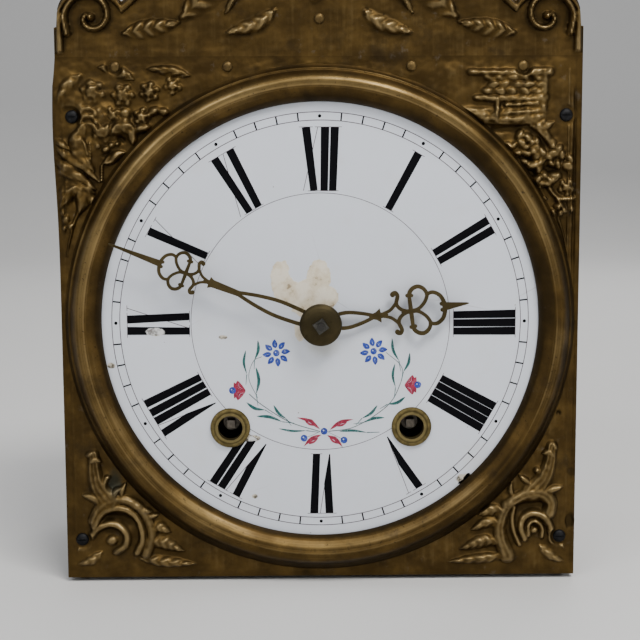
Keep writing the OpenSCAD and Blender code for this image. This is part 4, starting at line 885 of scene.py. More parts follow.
class Brushwork:
    """Flat strokes laid over the crown of the dial, in mm from its centre."""

    def __init__(self):
        self.points = []
        self.faces = []

    def strip(self, left, right, closed=False):
        """A band of faces between two rows of points."""
        start, count = len(self.points), len(left)
        for pair in zip(left, right):
            self.points += [tuple(point) for point in pair]
        for k in range(count if closed else count - 1):
            a, b = start + 2 * k, start + 2 * ((k + 1) % count)
            self.faces.append((a, a + 1, b + 1, b))

    def stroke(self, points, widths, count):
        """A stroke through a few points, with widths spread evenly along it."""
        path = curve_through(points, count)
        along = np.gradient(path, axis=0)
        along /= np.maximum(np.hypot(along[:, 0], along[:, 1]), 1e-9)[:, None]
        across = np.column_stack([-along[:, 1], along[:, 0]])
        half = 0.5 * np.interp(np.linspace(0, 1, count), np.linspace(0, 1, len(widths)), widths)[:, None]
        self.strip(path + across * half, path - across * half)

    def petal(self, start, end, w, bend=0.0, belly=0.5):
        """A stroke that swells and closes; belly is where it is widest."""
        a, b = np.array(start, float), np.array(end, float)
        side = np.array([-(b - a)[1], (b - a)[0]])
        t = np.linspace(0, 1, 13)
        shape = np.sin(math.pi * t ** (math.log(0.5) / math.log(belly))) ** 0.8
        self.stroke([a, (a + b) / 2 + side * bend, b], np.maximum(0.03, 2 * w * shape), 15)

    def disc(self, x, z, r):
        t = np.linspace(-1, 1, 17)
        self.stroke([(x - r, z), (x + r, z)], np.maximum(0.02, 2 * r * np.sqrt(1 - t * t)), 17)

    def ring(self, r, w, parts):
        a = 2 * math.pi * np.arange(parts) / parts
        way = np.column_stack([np.sin(a), np.cos(a)])
        self.strip((r + w / 2) * way, (r - w / 2) * way, closed=True)

    def radial(self, hour, outer, inner, widths, count=12):
        """One stroke of a numeral; outer and inner are (offset clockwise, radius)."""
        self.stroke(np.array([outer, inner]) @ hour_turn(hour), widths, count)

    def laid(self, name, material, lift, gauge):
        """Makes the strokes one thin piece on the enamel."""
        alone()
        bpy.ops.mesh.primitive_plane_add(size=0.01)
        obj = bpy.context.object
        mesh = obj.data
        mesh.clear_geometry()
        p = np.array(self.points)
        y = DIAL_FRONT / MM + dome(np.hypot(p[:, 0], p[:, 1])) - lift
        laid = np.column_stack([p[:, 0], y, p[:, 1] + CENTRE_Z / MM]) * MM
        mesh.from_pydata([tuple(point) for point in laid], [], self.faces)
        recalculated(obj)
        facing_front(obj)
        thickened(obj, gauge * MM, 1.0)
        return finished(obj, name, material, "cage", smooth=False)


# Operators, one for each piece or group of like pieces


class ClockPiece:
    """What the operators share."""

    bl_options = {"REGISTER", "UNDO"}

    def execute(self, context):
        self.build()
        return {"FINISHED"}


class CLOCK_OT_bezel(ClockPiece, bpy.types.Operator):
    """Spin the round moulding that holds the dial"""
    bl_idname = "clock.bezel"
    bl_label = "Bezel"

    # The moulding from the dial outwards, as (radius past the dial, rise), over its own full width
    line_width = 18.5
    line = ((0.0, 2.7), (0.0, 3.2), (0.4, 4.1), (1.1, 5.3), (2.0, 6.4), (3.0, 7.3), (4.2, 8.1), (5.4, 8.75),
            (6.3, 9.1), (6.9, 9.27), (7.3, 9.42), (7.9, 9.72), (8.7, 9.92), (9.6, 9.98), (10.6, 9.85),
            (11.5, 9.5), (12.3, 8.9), (13.1, 8.0), (13.9, 6.8), (14.6, 5.5), (15.2, 4.6), (15.8, 4.0),
            (16.4, 3.4), (17.0, 2.7), (17.6, 2.0), (18.4, 1.28))

    # Knocks on the rim as (angle in degrees, depth, reach), all near one radius
    knock_radius = 121.5
    knocks = ((38.5, 0.5, 2.6), (-38.0, 0.9, 2.4), (22.6, 0.7, 1.6), (-41.5, 0.5, 1.6), (142, 0.35, 3.0))

    # How bare the brass is across the moulding
    rub_at = (0, 0.9, 1.8, 3, 5, 6.6, 7.4, 8.2, 9.2, 11.5, 13, 14.4, 15.3, 16.2, 17, 18.4)
    rub = (0.0, 0.04, 0.24, 0.50, 0.60, 0.52, 0.56, 0.86, 0.62, 0.66, 0.50, 0.30, 0.20, 0.28, 0.16, 0.14)

    def build(self):
        inner = sizes().dial_radius / MM
        stretch = sizes().bezel_width / MM / self.line_width
        line = curve_through([(inner + r * stretch, out) for r, out in self.line], 84)
        obj = turned([(r * MM, SHEET_BACK - out * MM) for r, out in line], 300, (0.0, CENTRE_Z))
        facing_front(obj)
        co = places(obj)
        x, z = co[:, 0] / MM, (co[:, 2] - CENTRE_Z) / MM
        r, a = np.hypot(x, z), np.arctan2(z, x)
        dents = 0.10 * waves(x, z, 5, 26.0) + 0.05 * waves(x, z, 8, 9.0)
        up = (SHEET_BACK - co[:, 1]) / MM
        raised = np.clip((up - 4.0) / 5.0, 0, 1)
        for at, deep, wide in self.knocks:
            away = np.hypot((a - math.radians(at)) * 120, r - self.knock_radius)
            dents -= deep * np.exp(-(away / wide) ** 2)
        high = np.clip(1.2 * np.sin(a) + 0.7, 0, 1)
        bead = 0.75 * np.exp(-((r - inner - 16.4) / 0.55) ** 2) * high
        co[:, 1] -= (dents * raised + bead) * MM
        pressed(obj, *co.T)
        crest = np.interp(r - inner, self.rub_at, self.rub)
        inside = np.clip((9.0 - (r - inner)) / 4.0, 0, 1)
        # Painted shade: the bare brass is cut back on the slopes that face down (the inner slope in the upper
        # half, the outer slope in the lower half), and the right side, most at the lower right, is made
        # darker. All of it goes into the wear attribute.
        crest -= 0.42 * inside * high + 0.34 * (1 - inside) * np.clip(-1.4 * np.sin(a) - 0.1, 0, 1)
        crest += 0.25 * bead - 0.16 * np.clip(np.cos(a + 0.5), 0, 1)
        marked(obj, "wear", np.clip(crest + 0.10 * waves(x, z, 3, 40.0), 0, 1))
        thickened(obj, 1.0 * MM)
        finished(obj, "bezel", embossed_brass("bezel brass", True), "cage")
        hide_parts("surround")


class CLOCK_OT_corners(ClockPiece, bpy.types.Operator):
    """Press the four corners of the brass sheet"""
    bl_idname = "clock.corners"
    bl_label = "Embossed corners"

    columns = 400
    rows = 118
    fold_rows = 6

    # Screw heads that the relief stays clear of, on both sides, and dark marks, as (x, z, reach)
    screws = ((121.5, 102.0, 4.0), (121.5, -111.0, 4.0), (100.0, 126.0, 3.4), (45.0, 126.0, 3.4))
    marks = ((127.0, -103.5, 2.0), (127.4, -100.4, 1.0), (120.2, -47.0, 1.2), (127.2, -77.6, 1.3))

    def build(self):
        brass = embossed_brass()
        for name, side, top, ornament in (("corner_upper_left", -1, 1, bouquet),
                                          ("corner_upper_right", 1, 1, basket),
                                          ("corner_lower_left", -1, -1, left_scroll),
                                          ("corner_lower_right", 1, -1, right_scroll)):
            self.press(name, side, top, ornament, brass)

    def press(self, name, side, top, ornament, brass):
        obj, u, v = sheet_grid(self.columns, self.rows)
        if len(u) != (self.columns + 1) * (self.rows + 1):
            raise RuntimeError("the corner grid has an unexpected number of points")
        s = 2 * u - 1
        a = math.pi / 4 + math.pi / 4 * (0.60 * s + 0.40 * s ** 3)
        inner = (sizes().dial_radius + sizes().bezel_width) / MM - 1.1
        corner = math.atan2(HALF_H, HALF_W)
        edge = np.where(a < corner, HALF_W / np.cos(a), HALF_H / np.sin(np.maximum(a, 1e-6)))
        last = 1 - self.fold_rows / self.rows
        t = np.clip(v / last, 0, 1)
        r = inner + (edge - inner) * t
        x, z = side * r * np.cos(a), top * r * np.sin(a)
        relief = Relief(x, z, 1.2)
        ornament(relief)
        h = (relief.h * sizes().relief / (5.0 * MM)).reshape(self.rows + 1, self.columns + 1)
        h = np.where(h > 0, 3.4 * (1 - np.exp(-h / 2.4)), h)
        body = blurred(h, 45)
        h = (0.8 * blurred(h, 1) + 0.8 * body).ravel()
        crumple = 0.24 * waves(x, z, 31 + side + 2 * top, 8.0) + 0.20 * waves(x, z, 41 + side, 4.0)
        h += crumple * np.clip(body.ravel() / 1.2, 0, 1.2) * (1.0 if top > 0 else 0.35)
        h += 0.26 * waves(x, z, 11 + side + 2 * top, 15.0) + 0.08 * waves(x, z, 21 + side, 5.0)
        inset = np.minimum(HALF_W - np.abs(x), HALF_H - np.abs(z))
        h *= np.clip(inset / 3.0, 0, 1) * np.clip((r - inner) / 1.2, 0, 1)
        strip = HALF_W - np.abs(x)
        crease = np.exp(-((strip - 4.7) / 0.7) ** 2) - 0.8 * np.exp(-((strip - 3.2) / 0.8) ** 2)
        crease *= (0.45 if side > 0 < top else 0.25) * np.clip((r - inner) / 4.0, 0, 1)
        h += crease * np.clip((118 - np.abs(z)) / 8, 0, 1)
        for sx, sz, clear in self.screws:
            h *= np.clip((np.hypot(np.abs(x) - sx, z - sz) - clear) / 1.6, 0, 1)
        h = np.clip(h, -1.1, 6.0)
        fold = np.clip((v - last) / (1 - last), 0, 1)
        y = SHEET_BACK / MM - SHEET_T - h
        depth = np.where(a < corner, FLANGE, 2.5 if top < 0 else 0.0)
        y = y + fold * (depth + SHEET_T - 0.3)
        if side < 0:
            x -= 1.9 * t ** 3 * np.exp(-((z - 98) / 38) ** 2) * np.clip((HALF_H - z) / 14, 0, 1)
        pressed(obj, x * MM, y * MM, CENTRE_Z + z * MM)
        wear = rubbed(h, self.columns, self.rows)
        for sx, sz, reach in self.marks:
            wear -= 0.9 * np.exp(-(np.hypot(x - sx, z - sz) / reach) ** 2)
        wear -= 0.16 * np.exp(-inset / 4.0)
        if (side, top) != (-1, 1):
            wear += 0.08 * np.clip(h / 1.5, 0, 1)
        marked(obj, "wear", np.clip(wear, 0, 1))
        facing_front(obj)
        thickened(obj, (SHEET_T - 0.1) * MM)
        finished(obj, name, brass, "cage")
        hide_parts("surround")


class CLOCK_OT_pediment(ClockPiece, bpy.types.Operator):
    """Press the crest over the clock: a shell, a rose and scrolled shoulders"""
    bl_idname = "clock.pediment"
    bl_label = "Pediment"

    columns = 380
    rows = 120

    # Radii of the shell and the ears, where an ear's centre lies, and the heights of the two rivets
    shell = 26.0
    ear = 16.5
    ear_inset = 18.0
    ear_height = 19.0
    rivets = (18.0, 62.0)

    def outline(self, x, width, height):
        """Height of the sheet's upper edge: shoulders, an ear at each end and the round shell."""
        top = height - self.shell
        t = np.clip((width - 8 - np.abs(x)) / (width - 22), 0, 1)
        line = 16 + (top - 6) * (0.5 - 0.5 * np.cos(math.pi * t))
        line = np.where(np.abs(x) > width - 8, 14 + 2 * np.clip((width - np.abs(x)) / 8, 0, 1), line)
        ear = self.ear ** 2 - (np.abs(x) - width + self.ear_inset) ** 2
        line = np.maximum(line, np.where(ear > 0, self.ear_height + np.sqrt(np.maximum(ear, 0)), 0))
        cap = self.shell ** 2 - x ** 2
        return np.maximum(line, np.where(cap > 0, top + np.sqrt(np.maximum(cap, 0)), 0))

    def build(self):
        width = PEDIMENT_HIGH[0] / MM
        base = SHEET_HIGH[2] / MM
        height = PEDIMENT_HIGH[2] / MM - base
        obj, u, v = sheet_grid(self.columns, self.rows)
        x = width * (2 * u - 1)
        line = self.outline(x, width, height)
        z = v * line
        p = Relief(x, z)
        top = height - self.shell
        for k in range(-4, 5):
            a = math.radians(90 + 23 * k)
            rib = [(r * math.cos(a), top + r * math.sin(a)) for r in (4, 14, 23.5)]
            p.leaf(rib, 4.4, 4.4, tip=1.3, vein=0.2)
        p.berry(0, top, 5.0, 4.6, 1.0, 0, 0.2)
        p.rose(0, 40, 15, 4.6, 8)
        ear = width - self.ear_inset
        for m in (-1, 1):
            spiral = []
            for k in range(11):
                r, a = 14 - 1.15 * k, 0.72 * k - 0.6
                spiral.append((m * (ear + r * math.cos(a)), self.ear_height + r * math.sin(a)))
            p.ridge(spiral, 2.4, 4.2, (1.0, 0.8))
            p.berry(m * ear, self.ear_height, 2.6, 4.4)
            p.leaf([(m * 66, 19), (m * 50, 34), (m * 30, 52)], 8.0, 4.2, 0.2 * m, 6)
            p.leaf([(m * 95, 11), (m * 84, 13), (m * 68, 16)], 5.4, 3.8, 0.2 * m, 5)
            p.leaf([(m * 22, 22), (m * 30, 16), (m * 46, 11)], 4.4, 3.4, 0.2 * m, 4)
            p.leaf([(m * 14, 52), (m * 20, 62), (m * 22, 76)], 4.4, 3.6, 0.2 * m, 4)
            p.leaf([(m * 30, 40), (m * 40, 30), (m * 46, 20)], 3.0, 3.2, 0.2 * m, 3)
        short = np.minimum((line - z) * 0.75, width - np.abs(x))
        h = np.maximum(p.h, 2.6 * np.sqrt(np.clip(1 - ((short - 2.6) / 1.7) ** 2, 0, 1)))
        h += 0.15 * waves(x, z, 31, 18.0) + 0.06 * waves(x, z, 33, 5.0)
        h *= np.clip(short / 1.0, 0, 1) * np.clip((z - 1.0) / 2.0, 0, 1)
        for sz in self.rivets:
            h *= np.clip((np.hypot(x, z - sz) - 3.4) / 1.6, 0, 1)
        pressed(obj, x * MM, SHEET_BACK - (SHEET_T + np.clip(h, -0.8, 5.6)) * MM, (base + z) * MM)
        marked(obj, "wear", rubbed(h, self.columns, self.rows))
        facing_front(obj)
        thickened(obj, (SHEET_T - 0.1) * MM)
        brass = embossed_brass("pediment brass")
        finished(obj, "pediment_sheet", brass, "cage")
        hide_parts("pediment")
        alone()
        low, high = PEDIMENT_LOW[2] / MM, base + 6
        bpy.ops.mesh.primitive_cube_add(
            size=1.0, location=(0, SHEET_BACK + 0.5 * SHEET_T * MM, 0.5 * (low + high) * MM),
            scale=(2 * (width - 4) * MM, SHEET_T * MM, (high - low) * MM))
        lap = bpy.context.object
        bpy.ops.object.transform_apply(location=True, rotation=True, scale=True)
        edge = lap.modifiers.new("edge", "BEVEL")
        edge.width = 0.3 * MM
        edge.segments = 2
        bpy.ops.object.modifier_apply(modifier=edge.name)
        marked(lap, "wear", np.full(len(lap.data.vertices), 0.25))
        finished(lap, "pediment_lap", brass, "cage")
        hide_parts("pediment")


class CLOCK_OT_dial(ClockPiece, bpy.types.Operator):
    """Fire the crowned enamel dial and chip its rim"""
    bl_idname = "clock.dial"
    bl_label = "Enamel dial"

    # The bite out of the rim: its angle in degrees, middle radius, half widths and number of points
    chip_angle = -47.6
    chip_radius = 110.4
    chip_along = 5.2
    chip_inwards = 2.5
    chip_points = 26

    # Radius of the hole for each eyelet
    eyelet_bore = 7.65

    def build(self):
        hole, gauge = 6.2, 1.8
        radii = np.linspace(hole, DIAL_OUT - 0.4, 46)
        front = [(r, dome(r)) for r in radii]
        back = [(r, dome(r) + gauge) for r in radii[::-1]]
        start = (hole, 1.2 + dome(hole))
        rim = [(DIAL_OUT, dome(DIAL_OUT) + y) for y in (0.35, 1.4)]
        line = [start] + front + rim + back + [start]
        obj = turned([(r * MM, DIAL_FRONT + y * MM) for r, y in line], 320, (0.0, CENTRE_Z))
        for cutter in (self.barrel(-EYELET_X), self.barrel(EYELET_X), self.chip()):
            cut = obj.modifiers.new("cut", "BOOLEAN")
            cut.operation = "DIFFERENCE"
            cut.solver = "EXACT"
            cut.object = cutter
            bpy.context.view_layer.objects.active = obj
            bpy.ops.object.modifier_apply(modifier=cut.name)
            bpy.data.objects.remove(cutter, do_unlink=True)
        finished(obj, "enamel_dial", glazed_enamel(), "cage")
        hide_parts("dial")

    def barrel(self, x):
        alone()
        bpy.ops.mesh.primitive_cylinder_add(vertices=48, radius=self.eyelet_bore * MM, depth=0.04,
                                            location=(x, DIAL_FRONT, EYELET_Z), rotation=(math.pi / 2, 0, 0))
        return bpy.context.object

    def chip(self):
        """A ragged bite out of the rim at the lower right."""
        alone()
        bpy.ops.mesh.primitive_circle_add(vertices=self.chip_points, radius=1.0, fill_type="NGON")
        obj = bpy.context.object
        rng = np.random.default_rng(4)
        at = math.radians(self.chip_angle)
        for k, vert in enumerate(obj.data.vertices):
            a = 2 * math.pi * k / self.chip_points
            ragged = 1 + 0.32 * rng.uniform(-1, 1)
            along = self.chip_along * math.cos(a) * ragged
            r = self.chip_radius + self.chip_inwards * math.sin(a) * ragged
            x, z = r * math.cos(at) - along * math.sin(at), r * math.sin(at) + along * math.cos(at)
            vert.co = (x * MM, DIAL_FRONT - 0.004, CENTRE_Z + z * MM)
        bpy.ops.object.mode_set(mode="EDIT")
        bpy.ops.mesh.select_all(action="SELECT")
        bpy.ops.mesh.extrude_region_move(TRANSFORM_OT_translate={"value": (0, 0.016, 0)})
        bpy.ops.mesh.select_all(action="SELECT")
        bpy.ops.mesh.normals_make_consistent(inside=False)
        bpy.ops.object.mode_set(mode="OBJECT")
        return obj


class CLOCK_OT_numerals(ClockPiece, bpy.types.Operator):
    """Letter the hours and draw the minute track"""
    bl_idname = "clock.numerals"
    bl_label = "Numerals"

    # Strokes of each hour as (kind, offset at the outer end, offset at the inner end)
    hours = {
        1: (("bar", 0.3, 1.0),),
        2: (("bar", -2.1, -1.6), ("bar", 3.2, 3.1)),
        3: (("bar", -3.7, -3.5), ("bar", 0.65, 0.6), ("bar", 4.9, 4.7)),
        4: (("bar", -6.6, -5.9), ("bar", -2.3, -2.0), ("bar", 2.0, 1.9), ("bar", 6.3, 5.8)),
        5: (("wedge", -1.3, -0.3), ("hair", 5.0, -0.1)),
        6: (("wedge", -4.4, -4.5), ("hair", 0.3, -4.4), ("bar", 3.4, 2.1)),
        7: (("wedge", -6.9, -6.9), ("hair", -1.1, -6.8), ("bar", 1.7, 0.1), ("bar", 6.4, 4.5)),
        8: (("wedge", -9.3, -9.1), ("hair", -4.6, -9.0), ("bar", -2.2, -2.5), ("bar", 2.6, 1.75),
            ("bar", 7.9, 6.0)),
        9: (("bar", -4.6, -4.6), ("bar", 1.1, 2.7), ("hair", 6.8, -3.2)),
        10: (("bar", -3.5, 0.2), ("hair", 3.1, -5.6)),
        11: (("bar", -5.4, -3.6), ("hair", -0.5, -8.7), ("bar", 3.3, 1.5)),
        12: (("bar", -7.3, -3.5), ("hair", -1.5, -8.7), ("bar", 2.1, 1.5), ("bar", 6.9, 5.7)),
    }

    # How far each hour strays from its exact place, as (x, z)
    strays = {1: (-0.2, -0.35), 2: (0.1, 0.1), 3: (0.35, 0.05), 4: (0.25, -0.45), 5: (0.2, -1.1),
              6: (-0.15, -0.75), 7: (-0.55, -0.85), 8: (-0.05, 0.65), 9: (0.8, 0.75), 10: (0.95, 0.4),
              11: (1.4, -0.1), 12: (0.55, -0.45)}

    # Widths of strokes at their outer and inner ends, and half lengths of serifs
    bar = (4.1, 3.65)
    bar_serifs = (3.4, 2.9)
    wedge_serif = 3.6
    hairline = (0.30, 0.30)
    hair_serif = 1.4
    serif = (0.26, 0.26)
    serif_out = 0.1

    # The minute track: half its height, its ticks, its dots, its two rings, and the ring inside the hours
    track_half = 2
    tick = (0.74, 0.74)
    dot = 0.85
    track_ring = 0.36
    inner_radius = 64.4
    inner_ring = 0.26

    def build(self):
        outer, inner = sizes().numeral_outer / MM, sizes().numeral_inner / MM
        letters, hair = Brushwork(), Brushwork()
        for hour, strokes in self.hours.items():
            begun = [len(work.points) for work in (letters, hair)]
            for kind, a, b in strokes:
                if kind == "bar":
                    letters.radial(hour, (a, outer), (b, inner), self.bar)
                    self.level(hair, hour, a, self.bar_serifs[0], outer + self.serif_out)
                    self.level(hair, hour, b, self.bar_serifs[1], inner - self.serif_out)
                elif kind == "wedge":
                    self.wedge(letters, hour, a, b, outer, inner)
                    self.level(hair, hour, a, self.wedge_serif, outer + self.serif_out)
                else:
                    hair.radial(hour, (a, outer), (b, inner), self.hairline)
                    self.level(hair, hour, a, self.hair_serif, outer + self.serif_out)
            dx, dz = self.strays[hour]
            for work, start in zip((letters, hair), begun):
                work.points[start:] = [(x + dx, z + dz) for x, z in work.points[start:]]
        track = sizes().track_radius / MM
        for minute in range(60):
            a = 2 * math.pi * minute / 60
            way = np.array([math.sin(a), math.cos(a)])
            if minute % 5:
                letters.stroke([way * (track - self.track_half), way * (track + self.track_half)], self.tick,
                               3)
            else:
                letters.disc(*(way * track), self.dot)
        for r in (track + self.track_half, track - self.track_half):
            hair.ring(r, self.track_ring, 360)
        hair.ring(self.inner_radius, self.inner_ring, 300)
        for work, name, ink, lift in ((letters, "hour_numerals", numeral_ink(), 0.035),
                                      (hair, "minute_track", hairline_ink(), 0.005)):
            obj = work.laid(name, ink, lift, 0.03)

    def wedge(self, work, hour, a, b, outer, inner):
        """The thick stroke of a five: even on its outer part, then cut to a point along the hairline."""
        wide, point, even = 3.9, 0.5, 0.5
        t = np.linspace(0, 1, 25)
        r = outer + (inner - outer) * t
        far = (a - wide / 2) * (1 - t) + (b - point / 2) * t
        near = far + wide + (point - wide) * np.maximum(0.0, (t - even) / (1 - even))
        turn = hour_turn(hour)
        work.strip(np.column_stack([far, r]) @ turn, np.column_stack([near, r]) @ turn)

    def level(self, work, hour, at, half, r):
        """A serif across the end of a stroke."""
        work.radial(hour, (at - half, r), (at + half, r), self.serif, 3)


class CLOCK_OT_garland(ClockPiece, bpy.types.Operator):
    """Paint the garland of small flowers on the enamel"""
    bl_idname = "clock.garland"
    bl_label = "Garland"

    left_leaves = (((-31.2, -8.5), (-33.0, -18.5), 0.9, 0.10), ((-37.3, -13.5), (-36.9, -25.7), 0.8, -0.10),
                   ((-32.3, -22.1), (-32.3, -35.7), 1.0, 0.10), ((-37.3, -40.0), (-28.0, -43.9), 1.0, -0.12),
                   ((-23.7, -41.4), (-17.3, -48.5), 0.9, -0.10), ((-32.3, -47.1), (-19.4, -50.0), 1.0, 0.08),
                   ((-21.2, -53.5), (-7.3, -54.6), 0.7, -0.05))
    right_leaves = (((35.6, -7.8), (39.1, -19.3), 0.9, -0.10), ((44.5, -15.3), (41.3, -25.0), 0.9, 0.10),
                    ((37.1, -20.7), (37.4, -32.8), 0.8, -0.10), ((42.4, -37.7), (33.4, -41.4), 1.0, 0.12),
                    ((28.4, -41.8), (20.6, -48.5), 0.9, 0.10), ((32.0, -48.2), (21.3, -50.7), 0.9, -0.08),
                    ((9.1, -55.1), (23.1, -55.8), 0.8, 0.05))

    def build(self):
        blue, red, green, stem, lights = (Brushwork() for _ in range(5))
        for x, z in ((-22.1, -15.0), (26.4, -14.4)):
            for k in range(8):
                a = math.pi * k / 4 + 0.12
                way = np.array([math.cos(a), math.sin(a)])
                at = np.array([x, z])
                blue.petal(at + way * 2.5, at + way * 7.0, 1.35, 0.05, 0.42)
                lights.petal(at + way * 3.7, at + way * 5.0, 0.09, 0.12, 0.45)
            blue.disc(x, z, 1.65)
            lights.disc(x - 0.4, z + 0.4, 0.32)
        for x, z, side in ((-44.2, -33.9, 1), (48.6, -31.6, -1)):
            blue.disc(x, z, 1.75)
            lights.disc(x - 0.4, z + 0.4, 0.32)
            heart = (x + side * 6.6, z - 0.2)
            for m in (-1, 1):
                red.petal(heart, (x + side * 0.8, z + m * 4.1), 1.5, 0.26 * m * side, 0.45)
                red.petal(heart, (x + side * 2.6, z + m * 5.0), 1.9, 0.22 * m * side, 0.5)
                start = (heart[0] - 1.2 * side, heart[1] + m * 0.9)
                lights.petal(start, (x + side * 3.2, z + m * 4.2), 0.07, 0.25 * m * side)
        for x, z in ((1.6, -55.0), (-8.5, -58.5), (11.6, -59.6)):
            blue.disc(x, z, 1.75)
            lights.disc(x - 0.3, z + 0.4, 0.4)
        for tail, belly, tip, bend in (((-12.0, -47.8), (-5.6, -50.8), (-0.5, -53.9), 0.1),
                                       ((16.3, -48.9), (10.6, -51.4), (4.5, -54.2), -0.1),
                                       ((-8.7, -62.8), (-3.8, -60.0), (0.2, -56.8), 0.1),
                                       ((10.9, -63.2), (6.4, -59.8), (3.1, -57.1), -0.1)):
            red.petal(tail, tip, 0.95, bend, 0.55)
            mid = np.array(belly)
            way = np.subtract(tip, tail) / np.linalg.norm(np.subtract(tip, tail))
            red.petal(mid - way * 2.8, mid + way * 2.8, 1.6, bend, 0.5)
            lights.petal(mid - way * 1.0, mid + way * 1.0, 0.12, bend)
        for leaves in (self.left_leaves, self.right_leaves):
            for a, b, w, bend in leaves:
                green.petal(a, b, 0.8 * w, bend, 0.45)
                way = np.subtract(b, a)
                tail = b + 0.45 * way + 0.6 * bend * np.array([-way[1], way[0]])
                green.stroke([b, tail], [0.44, 0.2], 6)
        stem.stroke([(-0.5, -55.1), (-15.9, -50.0), (-29.4, -41.4), (-35.9, -35.7)], [0.42, 0.42, 0.42], 24)
        stem.stroke([(-31.6, -37.8), (-35.9, -27.8), (-33.7, -19.3), (-29.4, -16.8)], [0.32, 0.3], 20)
        stem.stroke([(3.8, -55.1), (17.0, -52.8), (32.7, -42.8), (39.1, -32.8), (40.6, -22.8), (32.7, -15.0)],
                    [0.42, 0.4, 0.3], 30)
        stem.stroke([(-0.5, -55.2), (-5.0, -57.2), (-8.2, -58.2)], [0.2, 0.2], 8)
        stem.stroke([(3.2, -55.2), (7.5, -57.4), (11.2, -59.3)], [0.2, 0.2], 8)
        palette = colours()
        for work, name, paint, colour, dark, thin, lift in (
                (stem, "garland_stems", "stem paint", (0.11, 0.15, 0.15), (0.06, 0.09, 0.09), 0.2, 0.03),
                (green, "garland_leaves", "leaf paint", palette.green, (0.012, 0.070, 0.068), 0.25, 0.04),
                (red, "garland_buds", "bud paint", palette.red, (0.22, 0.016, 0.040), 0.18, 0.05),
                (blue, "garland_flowers", "flower paint", palette.blue, (0.018, 0.035, 0.22), 0.25, 0.06),
                (lights, "garland_lights", "light paint", (0.52, 0.56, 0.66), (0.42, 0.48, 0.62), 0.2, 0.08)):
            work.laid(name, fired_paint(paint, colour, dark, thin), lift, 0.02)


class CLOCK_OT_knobs(ClockPiece, bpy.types.Operator):
    """Turn the low knobs of the side doors"""
    bl_idname = "clock.knobs"
    bl_label = "Door knobs"

    # (radius, rise off the door) from the crown to the foot
    line = ((0.0, 4.7), (1.6, 4.6), (3.0, 4.2), (3.8, 3.5), (4.0, 2.8), (3.6, 2.2), (2.4, 1.8), (2.2, 1.1),
            (3.1, 0.8), (3.3, 0.3), (3.2, -0.2), (0.0, -0.2))
    door_sheet = 1.0

    def build(self):
        brass = plain_brass("knob brass", (0.20, 0.135, 0.05), (0.10, 0.066, 0.025), 0.4)
        for side, door in ((-1, "left_door"), (1, "right_door")):
            low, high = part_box(door + "_knob")
            face = min(abs(low[0]), abs(high[0])) + self.door_sheet * MM
            obj = turned([(r * MM, -out * MM) for r, out in self.line], 32, (0, 0))
            x, y, z = places(obj).T
            pressed(obj, side * (face - y), 0.5 * (low[1] + high[1]) + x, 0.5 * (low[2] + high[2]) + z)
            recalculated(obj)
            finished(obj, door + "_button", brass, door)
            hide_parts(door + "_knob")


class CLOCK_OT_metals(ClockPiece, bpy.types.Operator):
    """Give every CAD piece its metal"""
    bl_idname = "clock.metals"
    bl_label = "Metals"

    iron = ("base_plate", "top_plate", "corner_pillars", "pillar_nuts", "front_bar_left", "front_bar_centre",
            "front_bar_right", "rear_bar_left", "rear_bar_centre", "rear_bar_right", "dial_straps",
            "pediment_stay", "door_gudgeons", "bell_post", "bell_nut", "rack_guide", "anchor_cock", "hammer")
    sheet_iron = ("back_panel", "left_door", "right_door")
    steel = ("bar_pins", "dial_pins", "going_click", "strike_click", "anchor", "crutch", "gathering_pallet",
             "hammer_arbor", "rack")
    wheels = ("cannon_wheel", "hour_wheel", "snail", "minute_wheel", "going_great_wheel",
              "strike_great_wheel", "going_drum", "strike_drum", "second_wheel", "third_wheel",
              "escape_wheel", "pin_wheel", "gathering_wheel", "fly")

    def build(self):
        palette = colours()
        finish = {}
        for names, metal in ((self.iron, forged_iron("forged iron", palette.iron, 0.6)),
                             (self.sheet_iron, forged_iron("sheet iron", (0.075, 0.066, 0.057), 0.8)),
                             (self.steel, worn_steel())):
            finish.update(dict.fromkeys(names, metal))
        finish["case_screws"] = forged_iron("blued screw", (0.013, 0.013, 0.0135), 0.10, 1.0)
        finish["hand_nut"] = finish["centre_post"] = forged_iron(
            "nut steel", (0.046, 0.044, 0.038), 0.2, 0.95)
        finish["pediment_rivets"] = plain_brass(
            "rivet brass", (0.15, 0.098, 0.034), (0.070, 0.044, 0.016), 0.46)
        finish["winding_eyelets"] = eyelet_brass()
        finish["going_winding_arbor"] = finish["strike_winding_arbor"] = forged_iron(
            "arbor steel", (0.20, 0.18, 0.155), 0.12, 0.9)
        finish["hour_hand"] = finish["minute_hand"] = plain_brass(
            "hand brass", palette.hand, tuple(0.62 * part for part in palette.hand), 0.46, 300.0)
        finish["hand_collet"] = plain_brass(
            "collet brass", (0.056, 0.042, 0.017), (0.034, 0.026, 0.011), 0.50, 260.0, (0.0, CENTRE_Z))
        finish["bell"] = bell_bronze()
        for name in self.wheels:
            lo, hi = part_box(name)
            axis = (0.5 * (lo[0] + hi[0]), 0.5 * (lo[2] + hi[2]))
            core = (0.035, 0.033, 0.030) if name == "cannon_wheel" else (0.16, 0.15, 0.14)
            finish[name] = wheel_metal("wheel brass " + name, axis, core)
        for name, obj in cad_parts.items():
            if name in finish:
                obj.data.materials.clear()
                obj.data.materials.append(finish[name])
            elif name not in ("surround", "pediment", "dial", "left_door_knob", "right_door_knob"):
                raise RuntimeError("no finish for " + name)


